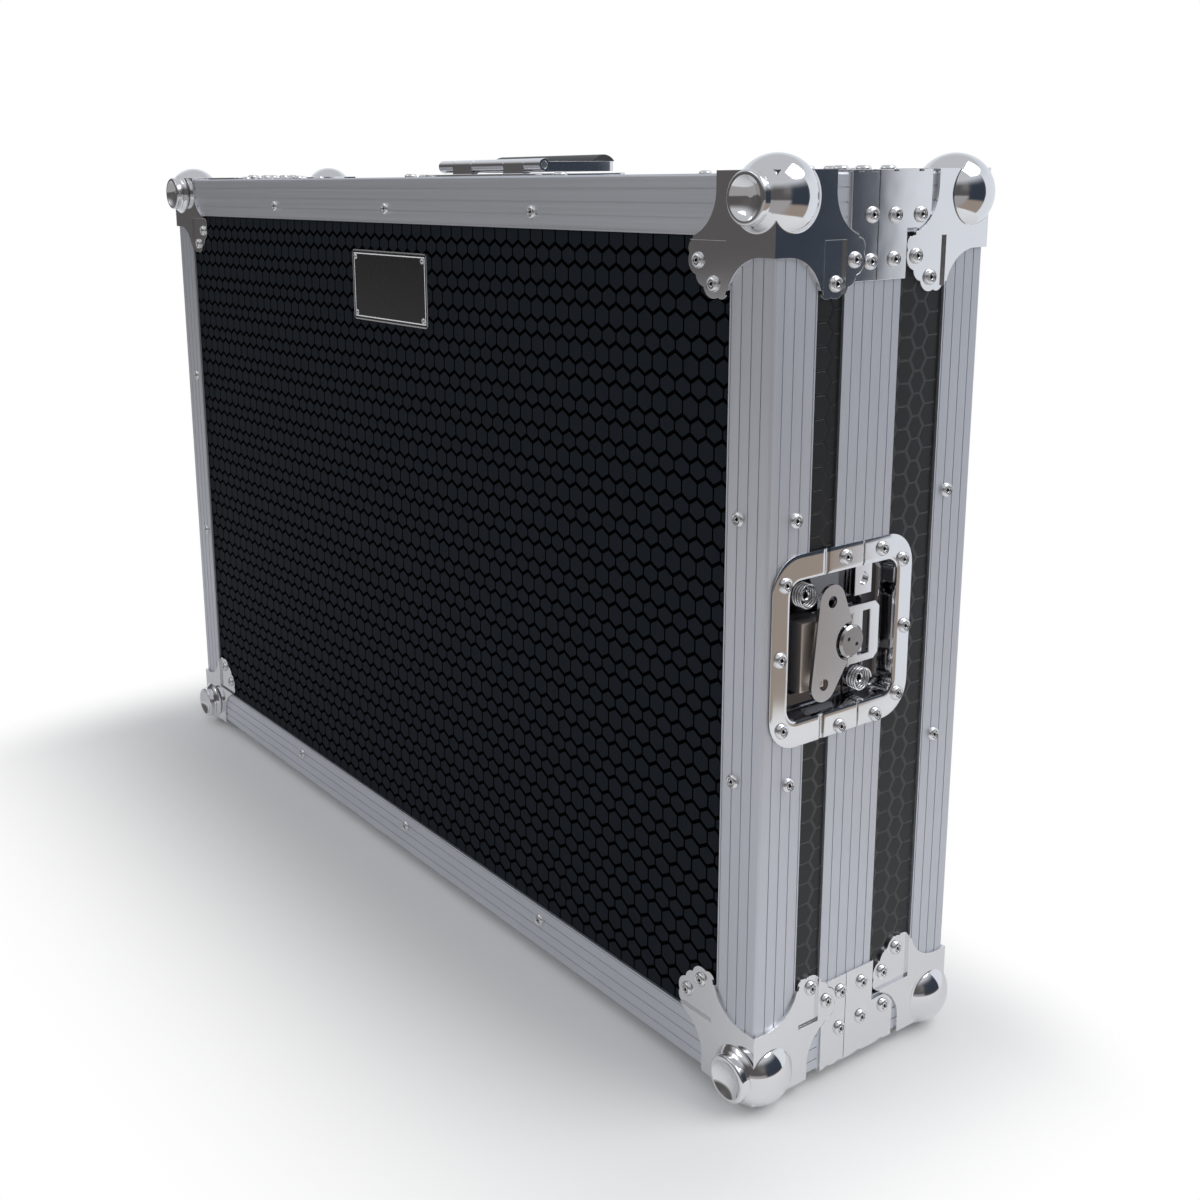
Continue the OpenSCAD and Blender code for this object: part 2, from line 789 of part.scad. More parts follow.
// Base half of the latch: dish with the lug that the hook's loop drops over, and two side tabs
module keeper_dish() {
    low = -dish_depth - dish_t / 2;
    lug_half = hook_window_half - latch_fit;
    dish_half(base_y, dish_far + over);
    block([lug_near, -lug_half, low], [lug_far, lug_half, lug_top]);
    for (s = [0, 1])
        mirror([0, s, 0])
            difference() {
                block([base_y + tab_in, mouth_h / 2 - 2 * dish_t - tab_h, low],
                      [base_y + tab_in + tab_w, mouth_h / 2 - 2 * dish_t, (tab_rise_share - 1) * dish_depth]);
                translate([base_y + tab_in + tab_w / 2, (mouth_h - tab_h) / 2 - 2 * dish_t, tab_hole_r - dish_depth])
                    cylinder(r = tab_hole_r, h = dish_depth);
            }
}

// Turning post of the latch: rivet foot under the dish, post and eccentric cam
module latch_cam() {
    foot_top = -dish_depth - dish_t - latch_fit / 3;
    translate([knob_y, 0, foot_top - foot_t]) cylinder(r = boss_r, h = foot_t);
    translate([knob_y, 0, foot_top]) cylinder(r = post_r, h = cam_bottom - foot_top);
    translate([knob_y - cam_throw, 0, cam_bottom]) cylinder(r = cam_r, h = knob_bottom - cam_bottom);
}

// Knob on the post, with a chamfered rim, the bore of the wing's pin and two spanner holes
module latch_knob() {
    difference() {
        translate([knob_y, 0, 0]) {
            translate([0, 0, knob_bottom]) cylinder(r = knob_r, h = knob_top - knob_bottom - knob_chamfer);
            translate([0, 0, knob_top - knob_chamfer])
                cylinder(r1 = knob_r, r2 = knob_r - knob_chamfer, h = knob_chamfer);
        }
        translate([knob_y, 0, wing_axis_w])
            rotate([90, 0, -wing_lean])
                cylinder(r = pin_r + pin_fit / 2, h = 4 * knob_r, center = true);
        for (s = [-1, 1])
            translate([knob_y + s * spanner_shares[0] * knob_r, -s * spanner_shares[1] * knob_r,
                       knob_top - 2 * spanner_r])
                cylinder(r = spanner_r, h = 4 * spanner_r);
    }
}

module latch_pin() {
    translate([knob_y, 0, wing_axis_w])
        rotate([90, 0, -wing_lean])
            cylinder(r = pin_r, h = 2 * pin_half, center = true);
}

// Butterfly wing: one kidney-shaped plate round the knob, with two ears on the pin
module latch_wing() {
    hinge_r = 5;
    translate([knob_y, 0, wing_axis_w])
        rotate([0, 0, -wing_lean])
            difference() {
                union() {
                    translate([0, 0, wing_axis_r - wing_t])
                        linear_extrude(wing_t)
                            difference() {
                                hull() {
                                    for (s = [-1, 1]) {
                                        translate([-wing_lobe_across, s * wing_lobe_up])
                                            circle(wing_lobe_r, $fn = 40);
                                        translate([-hinge_r, s * (pin_half - hinge_r)])
                                            circle(hinge_r, $fn = 32);
                                    }
                                }
                                circle(notch_r);
                                for (s = [-1, 1])
                                    translate([-wing_lobe_across, s * wing_lobe_up]) circle(wing_hole_r);
                            }
                    for (s = [0, 1])
                        mirror([0, s, 0])
                            translate([0, pin_half, 0])
                                rotate([90, 0, 0])
                                    cylinder(r = wing_axis_r, h = wing_ear_len);
                }
                rotate([90, 0, 0])
                    cylinder(r = pin_r + pin_fit, h = 4 * pin_half, center = true);
            }
}

// Outline of the hook, with small round corners at its tail and chamfers at its end
module hook_outline() {
    flat = hook_half - hook_chamfer;
    translate([hook_tail, -hook_half])
        round_rect(hook_end - hook_chamfer - hook_tail, 2 * hook_half, hook_corner_r);
    polygon([[knob_y, -hook_half], [hook_end - hook_chamfer, -hook_half], [hook_end, -flat],
             [hook_end, flat], [hook_end - hook_chamfer, hook_half], [knob_y, hook_half]]);
}

// Sliding hook: a plate with a yoke round the cam and a loop over the keeper's lug
module latch_hook() {
    yoke_reach = cam_r + 3 * latch_fit;
    translate([0, 0, hook_bottom])
        linear_extrude(hook_t)
            difference() {
                hook_outline();
                translate([knob_y - cam_throw - yoke_reach, -hook_window_half])
                    square([2 * yoke_reach, 2 * hook_window_half]);
                translate([hook_window_near, -hook_window_half])
                    square([hook_window_far - hook_window_near, 2 * hook_window_half]);
            }
}

// Centre line of a coil with a short straight run at both ends
function coil_at(a, r, pitch) = [r * cos(a), r * sin(a), pitch * a / 360];
function coil_dir(a, r, pitch) = let(v = [-r * sin(a), r * cos(a), pitch / 2 / PI]) v / norm(v);
function coil_rings(turns, r, wire, pitch, rings) = [
    let(t = coil_dir(0, r, pitch)) [coil_at(0, r, pitch) - 2 * wire * t, 0],
    for (i = [0 : turns * rings]) [coil_at(i * 360 / rings, r, pitch), i * 360 / rings],
    let(a = turns * 360, t = coil_dir(a, r, pitch)) [coil_at(a, r, pitch) + 2 * wire * t, a]
];
function coil_gap(turns, r, wire, pitch, rings) =
    min([for (i = [0 : turns * rings - rings / 2], j = [i + rings / 2 : turns * rings])
         norm(coil_at(i * 360 / rings, r, pitch) - coil_at(j * 360 / rings, r, pitch))]) - 2 * wire;

// One unbroken round wire wound as a coil along z
module wire_coil(turns, r, wire, pitch) {
    rings = 8;
    sides = 6;
    path = coil_rings(turns, r, wire, pitch, rings);
    count = len(path);
    echo(coil_gap = coil_gap(turns, r, wire, pitch, rings));
    points = [
        for (p = path)
            let(out = [cos(p[1]), sin(p[1]), 0], up = cross(coil_dir(p[1], r, pitch), out))
            for (k = [0 : sides - 1])
                p[0] + wire * (cos(k * 360 / sides) * out + sin(k * 360 / sides) * up)
    ];
    skin = [
        for (i = [0 : count - 2], k = [0 : sides - 1])
            let(a = i * sides + k, b = i * sides + (k + 1) % sides)
            each [[a, b, b + sides], [a, b + sides, a + sides]]
    ];
    caps = [
        for (k = [1 : sides - 2])
            each [[0, k + 1, k], [(count - 1) * sides, (count - 1) * sides + k, (count - 1) * sides + k + 1]]
    ];
    polyhedron(points, concat(skin, caps));
}

// Springs on the posts in the latch's dish
module latch_springs() {
    for (i = [0, 1])
        translate([post_place(i)[0], post_place(i)[1], -dish_depth + 2 * latch_wire_r])
            wire_coil(latch_coil_turns, latch_coil_r, latch_wire_r, latch_coil_pitch);
}

// Plate of the carrying handle with its two knuckles
module handle_base() {
    difference() {
        union() {
            translate([-handle_w / 2, handle_y, case_h])
                linear_extrude(handle_t) round_rect(handle_w, handle_d, 2 * knuckle_r);
            for (s = [0, 1])
                mirror([s, 0, 0]) {
                    translate([sleeve_half + knuckle_gap, pivot_y, pivot_z])
                        rotate([0, 90, 0]) cylinder(r = knuckle_r, h = plate_knuckle);
                    block([sleeve_half + knuckle_gap, pivot_y - knuckle_r, case_h],
                          [sleeve_half + knuckle_gap + plate_knuckle, pivot_y + cheek_share * knuckle_r, pivot_z]);
                }
        }
        translate([-bail_from, pivot_y, pivot_z])
            rotate([0, 90, 0]) cylinder(r = axle_r + pin_fit, h = 2 * bail_from);
    }
}

module handle_rod() {
    translate([-pivot_half + rod_end_gap, pivot_y, pivot_z])
        rotate([0, 90, 0]) cylinder(r = axle_r, h = 2 * (pivot_half - rod_end_gap));
}

// Loose sleeve on the rod between the plate's knuckles
module handle_spacer() {
    translate([-sleeve_half, pivot_y, pivot_z])
        rotate([0, 90, 0])
            difference() {
                cylinder(r = knuckle_r, h = 2 * sleeve_half);
                translate([0, 0, -over]) cylinder(r = axle_r + pin_fit, h = 2 * (sleeve_half + over));
            }
}

// Folding bail: a knuckle and an arm at each end, and the bar under the grip
module handle_arms() {
    bar_y = pivot_y + grip_back - grip_w / 2;
    difference() {
        union() {
            for (s = [0, 1])
                mirror([s, 0, 0]) {
                    translate([bail_from, pivot_y, pivot_z])
                        rotate([0, 90, 0]) cylinder(r = knuckle_r, h = pivot_half - bail_from);
                    block([pivot_half - arm_w, pivot_y, bail_low],
                          [pivot_half, bar_y + over, bail_low + arm_h]);
                }
            translate([-pivot_half, bar_y, bail_low])
                linear_extrude(arm_h) round_rect(2 * pivot_half, grip_w, arm_w);
            for (s = [0, 1])
                mirror([s, 0, 0])
                    block([pivot_half - arm_w, bar_y - over, bail_low],
                          [pivot_half, bar_y + arm_w, bail_low + arm_h]);
        }
        translate([-2 * pivot_half, pivot_y, pivot_z])
            rotate([0, 90, 0]) cylinder(r = axle_r + pin_fit, h = 4 * pivot_half);
    }
}

// Moulded grip on the bail's bar, round along its length
module handle_moulding() {
    wide = grip_w - 2 * grip_side_gap;
    round_r = (wide * wide / 4 + grip_h * grip_h) / (2 * grip_h);
    translate([-grip_half, pivot_y + grip_back, bail_low + arm_h])
        rotate([90, 0, 90])
            linear_extrude(2 * grip_half)
                intersection() {
                    translate([0, grip_h - round_r]) circle(round_r, $fn = 96);
                    translate([-wide / 2, 0]) square([wide, grip_h]);
                }
}

// Block of pick foam, scored into cubes from its face, with room for the keepers' dishes
module pick_block() {
    w = case_w - 2 * foam_side;
    h = case_h - 2 * foam_side;
    cell_w = w / pick_columns;
    cell_h = h / pick_rows;
    difference() {
        block([-w / 2, pick_front, foam_side], [w / 2, pick_back, case_h - foam_side]);
        for (i = [1 : pick_columns - 1])
            translate([-w / 2 + i * cell_w - pick_cut_w / 2, pick_front - over, 0])
                cube([pick_cut_w, pick_cut_d + over, case_h]);
        for (j = [1 : pick_rows - 1])
            translate([-w, pick_front - over, foam_side + j * cell_h - pick_cut_w / 2])
                cube([2 * w, pick_cut_d + over, pick_cut_w]);
        for (side = [-1, 1])
            at_latch(side)
                translate([lid_d, -cut_half - over, -dish_depth - dish_t - foam_gap])
                    cube([cut_far + over - lid_d, 2 * (cut_half + over), case_w / 4]);
    }
}

// Height of the convoluted foam above its floor, from 0 to 1, at a place counted in waves
function wave(u, v) = (2 + cos(360 * u) + cos(360 * v)) / 4;

// Convoluted foam in the lid: a waved face over a flat back, as one closed mesh
module wave_block() {
    nx = waves_x * samples;
    nz = waves_z * samples;
    w = case_w - 2 * wave_side_x;
    h = case_h - 2 * foam_side;
    face = [
        for (i = [0 : nx], j = [0 : nz])
            [-w / 2 + w * i / nx, wave_back + wave_floor + wave_h * wave(i / samples, j / samples),
             foam_side + h * j / nz]
    ];
    row = nz + 1;
    waved = [
        for (i = [0 : nx - 1], j = [0 : nz - 1])
            let(a = i * row + j, b = a + row)
            each [[a, b, b + 1], [a, b + 1, a + 1]]
    ];
    back = [for (p = face) [p[0], wave_back, p[2]]];
    count = len(face);
    flat = [for (t = waved) [t[2] + count, t[1] + count, t[0] + count]];
    rim_loop = concat([for (i = [0 : nx - 1]) i * row], [for (j = [0 : nz - 1]) nx * row + j],
                      [for (i = [nx : -1 : 1]) i * row + nz], [for (j = [nz : -1 : 1]) j]);
    sides = [
        for (k = [0 : len(rim_loop) - 1])
            let(a = rim_loop[k], b = rim_loop[(k + 1) % len(rim_loop)])
            each [[a, b + count, b], [a, a + count, b + count]]
    ];
    polyhedron(concat(face, back), concat(waved, flat, sides));
}

// Lid
module lid_front_panel() {
    color(board) placed()
        block([-wall_len_x / 2, angle_t, slot_end], [wall_len_x / 2, panel_in, case_h - slot_end]);
}

module lid_top_wall() {
    color(board) placed()
        block([-wall_len_x / 2, slot_end, case_h - panel_in], [wall_len_x / 2, lid_wall_end, case_h - angle_t]);
}

module lid_bottom_wall() {
    color(board) placed()
        block([-wall_len_x / 2, slot_end, angle_t], [wall_len_x / 2, lid_wall_end, panel_in]);
}

module lid_side_wall(side) {
    color(board) placed()
        difference() {
            mirror([side < 0 ? 1 : 0, 0, 0])
                block([case_w / 2 - panel_in, slot_end, slot_end],
                      [case_w / 2 - angle_t, lid_wall_end, case_h - slot_end]);
            dish_cut(side);
        }
}

module lid_left_wall() {
    lid_side_wall(-1);
}

module lid_right_wall() {
    lid_side_wall(1);
}

module lid_edge_top() {
    color(alu) placed() edge_x(0, 1);
}

module lid_edge_bottom() {
    color(alu) placed() edge_x(0, 0);
}

module lid_edge_left() {
    color(alu) placed() edge_z(-1, 0);
}

module lid_edge_right() {
    color(alu) placed() edge_z(1, 0);
}

module lid_short_edges() {
    color(alu) placed() short_edges(0, lid_d - lid_rim_w);
}

module lid_groove_frame() {
    color(alu) placed()
        difference() {
            translate([0, lid_d, 0]) mirror([0, 1, 0]) rim_frame() lid_rim_profile();
            both_dish_cuts();
        }
}

module lid_corner(side, top) {
    color(chrome) placed() octant(side, 0, top) ball_corner(lid_d - lid_rim_w, true);
}

module lid_ball_corner_top_left() {
    lid_corner(-1, 1);
}

module lid_ball_corner_top_right() {
    lid_corner(1, 1);
}

module lid_ball_corner_bottom_left() {
    lid_corner(-1, 0);
}

module lid_ball_corner_bottom_right() {
    lid_corner(1, 0);
}

module lid_braces() {
    color(chrome) placed()
        for (side = [-1, 1], top = [0, 1])
            octant(side, 0, top)
                translate([0, lid_d, 0])
                    rotate([0, 0, -90])
                        brace(lid_brace_w, lid_slot_shares) lid_brace_outline();
}

module lid_rivets() {
    color(steel) placed() {
        edge_rivets(0);
        for (side = [-1, 1], top = [0, 1])
            octant(side, 0, top) corner_rivets(lid_d - lid_rim_w);
        brace_rivets(0, lid_brace_w, lid_brace_rivet_shares);
        dish_rivets(true);
        for (x = [-1, 1], z = [plate_rivet_inset, plate_h - plate_rivet_inset])
            translate([x * (plate_w / 2 - plate_rivet_inset), angle_t - plate_t, case_h - plate_down - z])
                rotate([90, 0, 0]) rivet(plate_rivet_r, plate_rivet_r / 2);
    }
}

module lid_convoluted_foam() {
    color(foam_colour) placed() wave_block();
}

module name_plate() {
    color("black") placed()
        translate([-plate_w / 2, angle_t, case_h - plate_down - plate_h])
            rotate([90, 0, 0]) linear_extrude(plate_t) round_rect(plate_w, plate_h, plate_r);
}

// Base
module base_back_panel() {
    color(board) placed()
        block([-wall_len_x / 2, case_d - panel_in, slot_end], [wall_len_x / 2, case_d - angle_t, case_h - slot_end]);
}

module base_top_wall() {
    color(board) placed()
        block([-wall_len_x / 2, base_wall_start, case_h - panel_in],
              [wall_len_x / 2, case_d - slot_end, case_h - angle_t]);
}

module base_bottom_wall() {
    color(board) placed()
        block([-wall_len_x / 2, base_wall_start, angle_t], [wall_len_x / 2, case_d - slot_end, panel_in]);
}

module base_side_wall(side) {
    color(board) placed()
        difference() {
            mirror([side < 0 ? 1 : 0, 0, 0])
                block([case_w / 2 - panel_in, base_wall_start, slot_end],
                      [case_w / 2 - angle_t, case_d - slot_end, case_h - slot_end]);
            dish_cut(side);
        }
}

module base_left_wall() {
    base_side_wall(-1);
}

module base_right_wall() {
    base_side_wall(1);
}

module base_edge_top() {
    color(alu) placed() edge_x(1, 1);
}

module base_edge_bottom() {
    color(alu) placed() edge_x(1, 0);
}

module base_edge_left() {
    color(alu) placed() edge_z(-1, 1);
}

module base_edge_right() {
    color(alu) placed() edge_z(1, 1);
}

module base_short_edges() {
    color(alu) placed() short_edges(1, base_d - base_rim_w);
}

module base_tongue_frame() {
    color(alu) placed()
        difference() {
            translate([0, base_y, 0]) rim_frame() base_rim_profile();
            both_dish_cuts();
        }
}

module base_corner(side, top) {
    color(chrome) placed() octant(side, 1, top) ball_corner(base_d - base_rim_w, false);
}

module base_ball_corner_top_left() {
    base_corner(-1, 1);
}

module base_ball_corner_top_right() {
    base_corner(1, 1);
}

module base_ball_corner_bottom_left() {
    base_corner(-1, 0);
}

module base_ball_corner_bottom_right() {
    base_corner(1, 0);
}

module base_braces() {
    color(chrome) placed()
        for (side = [-1, 1], top = [0, 1])
            octant(side, 1, top)
                translate([0, base_d, 0])
                    rotate([0, 0, -90])
                        brace(base_brace_foot, base_slot_shares) base_brace_outline();
}

module base_rivets() {
    color(steel) placed() {
        edge_rivets(1);
        for (side = [-1, 1], top = [0, 1])
            octant(side, 1, top) corner_rivets(base_d - base_rim_w);
        brace_rivets(1, base_brace_foot, base_brace_rivet_shares);
        dish_rivets(false);
    }
}

module base_pad() {
    color(foam_colour) placed()
        block([-case_w / 2 + foam_side, pad_back - pad_t, foam_side],
              [case_w / 2 - foam_side, pad_back, case_h - foam_side]);
}

module pick_foam() {
    color(foam_colour) placed() pick_block();
}

// Latches
module latch_dish_left() {
    color(chrome) placed() at_latch(-1) latch_dish();
}

module latch_dish_right() {
    color(chrome) placed() at_latch(1) latch_dish();
}

module latch_springs_left() {
    color(steel) placed() at_latch(-1) latch_springs();
}

module latch_springs_right() {
    color(steel) placed() at_latch(1) latch_springs();
}

module latch_cam_left() {
    color(steel) placed() at_latch(-1) latch_cam();
}

module latch_knob_left() {
    color(steel) placed() at_latch(-1) latch_knob();
}

module latch_cam_right() {
    color(steel) placed() at_latch(1) latch_cam();
}

module latch_knob_right() {
    color(steel) placed() at_latch(1) latch_knob();
}

module latch_pin_left() {
    color(steel) placed() at_latch(-1) latch_pin();
}

module latch_pin_right() {
    color(steel) placed() at_latch(1) latch_pin();
}

module latch_wing_left() {
    color(chrome) placed() at_latch(-1) latch_wing();
}

module latch_wing_right() {
    color(chrome) placed() at_latch(1) latch_wing();
}

module latch_hook_left() {
    color(chrome) placed() at_latch(-1) latch_hook();
}

module latch_hook_right() {
    color(chrome) placed() at_latch(1) latch_hook();
}

module keeper_dish_left() {
    color(chrome) placed() at_latch(-1) keeper_dish();
}

module keeper_dish_right() {
    color(chrome) placed() at_latch(1) keeper_dish();
}

// Handle
module handle_plate() {
    color(chrome) placed() handle_base();
}

module handle_axle() {
    color(steel) placed() handle_rod();
}

module handle_bail() {
    color(chrome) placed() handle_arms();
}

module handle_grip() {
    color("black") placed() handle_moulding();
}

module handle_sleeve() {
    color(chrome) placed() handle_spacer();
}

lid_front_panel();
lid_top_wall();
lid_bottom_wall();
lid_left_wall();
lid_right_wall();
lid_edge_top();
lid_edge_bottom();
lid_edge_left();
lid_edge_right();
lid_short_edges();
lid_groove_frame();
lid_ball_corner_top_left();
lid_ball_corner_top_right();
lid_ball_corner_bottom_left();
lid_ball_corner_bottom_right();
lid_braces();
lid_rivets();
lid_convoluted_foam();
name_plate();
base_back_panel();
base_top_wall();
base_bottom_wall();
base_left_wall();
base_right_wall();
base_edge_top();
base_edge_bottom();
base_edge_left();
base_edge_right();
base_short_edges();
base_tongue_frame();
base_ball_corner_top_left();
base_ball_corner_top_right();
base_ball_corner_bottom_left();
base_ball_corner_bottom_right();
base_braces();
base_rivets();
base_pad();
pick_foam();
latch_dish_left();
latch_dish_right();
latch_springs_left();
latch_springs_right();
latch_cam_left();
latch_knob_left();
latch_cam_right();
latch_knob_right();
latch_pin_left();
latch_pin_right();
latch_wing_left();
latch_wing_right();
latch_hook_left();
latch_hook_right();
keeper_dish_left();
keeper_dish_right();
handle_plate();
handle_axle();
handle_bail();
handle_grip();
handle_sleeve();
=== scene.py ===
"""Looks of a laminated flight case with aluminium edges, ball corners and recessed latches."""

from __future__ import annotations

import json
import logging
import math
from collections.abc import Callable, Iterator
from contextlib import contextmanager
from dataclasses import dataclass, field
from enum import Enum
from itertools import product

import bmesh
import bpy
import numpy as np
from mathutils import Matrix, Vector

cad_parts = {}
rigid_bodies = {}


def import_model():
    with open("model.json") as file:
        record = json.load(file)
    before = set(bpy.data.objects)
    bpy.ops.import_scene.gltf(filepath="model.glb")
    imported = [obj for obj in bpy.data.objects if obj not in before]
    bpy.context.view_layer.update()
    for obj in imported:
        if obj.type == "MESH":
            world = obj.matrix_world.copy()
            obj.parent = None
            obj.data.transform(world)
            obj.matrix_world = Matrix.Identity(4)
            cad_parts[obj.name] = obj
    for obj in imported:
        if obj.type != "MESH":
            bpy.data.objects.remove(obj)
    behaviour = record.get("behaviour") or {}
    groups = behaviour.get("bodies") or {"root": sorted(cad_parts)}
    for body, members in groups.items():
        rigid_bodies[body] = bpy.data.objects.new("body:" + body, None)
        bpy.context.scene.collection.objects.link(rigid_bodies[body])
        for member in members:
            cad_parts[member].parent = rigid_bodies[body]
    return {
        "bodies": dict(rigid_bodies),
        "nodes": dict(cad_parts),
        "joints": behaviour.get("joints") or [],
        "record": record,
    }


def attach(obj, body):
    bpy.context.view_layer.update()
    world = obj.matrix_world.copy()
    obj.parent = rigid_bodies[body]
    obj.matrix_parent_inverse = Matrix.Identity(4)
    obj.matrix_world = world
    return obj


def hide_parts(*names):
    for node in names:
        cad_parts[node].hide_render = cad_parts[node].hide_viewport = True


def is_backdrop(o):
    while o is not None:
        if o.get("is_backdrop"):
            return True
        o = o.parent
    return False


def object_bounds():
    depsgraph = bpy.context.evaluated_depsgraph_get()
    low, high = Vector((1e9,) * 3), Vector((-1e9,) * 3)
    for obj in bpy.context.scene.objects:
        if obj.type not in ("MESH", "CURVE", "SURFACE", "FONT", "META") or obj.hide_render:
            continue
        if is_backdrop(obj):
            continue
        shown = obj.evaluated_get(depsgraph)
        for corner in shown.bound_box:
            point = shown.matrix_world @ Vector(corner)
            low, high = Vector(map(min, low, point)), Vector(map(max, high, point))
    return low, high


LOG = logging.getLogger("flight_case")
MM = 0.001
MERGE = 1e-6
ROOT3 = math.sqrt(3.0)
TURN = 2 * math.pi
WHITE = (1, 1, 1, 1)
Colour = tuple[float, float, float, float]
Pair = tuple[float, float]
Triple = tuple[float, float, float]
Material, Piece, Socket = bpy.types.Material, bpy.types.Object, bpy.types.NodeSocket


@dataclass(frozen=True)
class CaseSizes:
    """Main sizes of the case in millimetres, as the part states them."""

    width: float = 733.0
    height: float = 492.0
    lid_depth: float = 70.0
    base_start: float = 70.4
    depth: float = 155.0
    foot: float = 9.5

    def to_row(self, points: np.ndarray) -> np.ndarray:
        """Points from the lid's front and the case's underside, in mm, to the row frame in metres.

        Args:
            points: array (..., 3) in mm.

        Returns:
            The same points in metres in the shared frame.
        """
        return (points + np.array([0.0, -self.depth / 2, self.foot])) * MM


CASE = CaseSizes()


@dataclass
class Surface:
    """Points, faces and one optional number per point of a surface under construction.

    Attributes:
        points: array (n, 3) in mm.
        faces: list of index arrays, each (m, k) for faces with k corners.
        mark: array (n,) of a number that a finish can read; the bright plate paints shade where it is high.
    """

    points: np.ndarray
    faces: list[np.ndarray]
    mark: np.ndarray | None = None

    def marks(self) -> np.ndarray:
        """The marks, zero where none were given."""
        return np.zeros(len(self.points)) if self.mark is None else self.mark

    def turned(self) -> Surface:
        """The same surface with its faces turned over."""
        return Surface(self.points, [f[:, ::-1] for f in self.faces], self.mark)

    def moved(self, offset: Triple) -> Surface:
        """The same surface moved by an offset in mm."""
        return Surface(self.points + np.array(offset), self.faces, self.mark)

    def mapped(self, matrix: np.ndarray, offset: np.ndarray) -> Surface:
        """The surface through a linear map; its faces are turned over where the map mirrors.

        Args:
            matrix: array (3, 3).
            offset: array (3,) added after the map.

        Returns:
            The mapped surface.
        """
        out = Surface(self.points @ matrix.T + offset, self.faces, self.mark)
        return out.turned() if np.linalg.det(matrix) < 0 else out


def joined(parts: list[Surface]) -> Surface:
    """One surface from several, without merging their points.

    Args:
        parts: the surfaces.

    Returns:
        Their union as one list of points and faces.
    """
    starts = np.cumsum([0] + [len(p.points) for p in parts])
    faces = [f + s for p, s in zip(parts, starts) for f in p.faces]
    return Surface(np.vstack([p.points for p in parts]), faces, np.concatenate([p.marks() for p in parts]))


def grid_faces(rows: int, columns: int, wrap: bool = False) -> np.ndarray:
    """Four-cornered faces of a grid of points stored row by row.

    Args:
        rows: number of rows of points.
        columns: number of points in a row.
        wrap: whether the last column joins the first.

    Returns:
        Array (n, 4); the faces look along (step down the rows) x (step along a row).
    """
    i, j = np.meshgrid(np.arange(rows - 1), np.arange(columns if wrap else columns - 1), indexing="ij")
    k = (j + 1) % columns
    quads = np.stack([i * columns + j, (i + 1) * columns + j, (i + 1) * columns + k, i * columns + k], -1)
    return quads.reshape(-1, 4)


def turned_profile(profile: np.ndarray, sides: int = 32, mark: np.ndarray | None = None) -> Surface:
    """A profile of radius and height turned about the third axis: (r cos a, r sin a, h).

    Args:
        profile: array (n, 2) of radius and height, from the top's middle outwards and down.
        sides: number of steps round the axis.
        mark: one number per profile point, the share of painted shade there.

    Returns:
        The turned surface, looking outwards.
    """
    angle = np.linspace(0, TURN, sides, endpoint=False)
    r, h = profile[:, 0:1], profile[:, 1:2]
    points = np.stack([r * np.cos(angle), r * np.sin(angle), np.broadcast_to(h, (len(profile), sides))], -1)
    marks = None if mark is None else np.repeat(mark, sides)
    return Surface(points.reshape(-1, 3), [grid_faces(len(profile), sides, wrap=True)], marks)


def swept_tube(path: np.ndarray, radius: float, sides: int = 10) -> Surface:
    """A round tube along a path: each ring is path + radius (cos a N + sin a B), N and B across the path.

    Args:
        path: array (n, 3) of the centre line.
        radius: the tube's radius.
        sides: points in each ring.

    Returns:
        The tube with flat ends.
    """
    tangent = np.gradient(path, axis=0)
    tangent /= np.linalg.norm(tangent, axis=1, keepdims=True)
    out = path - path.mean(0)
    normal = out - np.sum(out * tangent, 1, keepdims=True) * tangent
    normal /= np.linalg.norm(normal, axis=1, keepdims=True)
    binormal = np.cross(tangent, normal)
    angle = np.linspace(0, TURN, sides, endpoint=False)[None, :, None]
    rings = path[:, None] + radius * (np.cos(angle) * normal[:, None] + np.sin(angle) * binormal[:, None])
    first = np.arange(sides)[None]
    last = (len(path) - 1) * sides + first
    walls = grid_faces(len(path), sides, wrap=True)[:, ::-1]
    return Surface(rings.reshape(-1, 3), [walls, first[:, ::-1], last])


@contextmanager
def edited(mesh: bpy.types.Mesh) -> Iterator[bmesh.types.BMesh]:
    """A mesh open for editing, written back at the end.

    Args:
        mesh: the mesh.
    """
    bm = bmesh.new()
    bm.from_mesh(mesh)
    yield bm
    bm.to_mesh(mesh)
    bm.free()


def shade(mesh: bpy.types.Mesh, sharp: float) -> None:
    """Shades a mesh smooth, except at edges that turn by more than an angle in degrees."""
    mesh.polygons.foreach_set("use_smooth", np.ones(len(mesh.polygons), bool))
    mesh.set_sharp_from_angle(angle=math.radians(sharp))


def to_object(surface: Surface, name: str, merge: float = 0.0, sharp: float = 38) -> Piece:
    """A Blender object in the shared frame from a surface in mm.

    Args:
        surface: points in mm from the lid's front and the case's underside.
        name: the piece's name.
        merge: distance in metres under which points are merged, or zero.
        sharp: angle in degrees from which an edge stays sharp.

    Returns:
        The new object, at the origin, with its place in its mesh.
    """
    mesh = bpy.data.meshes.new(name)
    faces = [f for block in surface.faces for f in block.tolist()]
    mesh.from_pydata(CASE.to_row(surface.points).tolist(), [], faces)
    # the mark is the share of painted shade that the bright plate lays on each point
    layer = mesh.attributes.new("mark", "FLOAT", "POINT")
    layer.data.foreach_set("value", surface.marks().astype(np.float32))
    if merge > 0:
        with edited(mesh) as bm:
            bmesh.ops.remove_doubles(bm, verts=bm.verts, dist=merge)
    shade(mesh, sharp)
    piece = bpy.data.objects.new(name, mesh)
    bpy.context.scene.collection.objects.link(piece)
    return piece


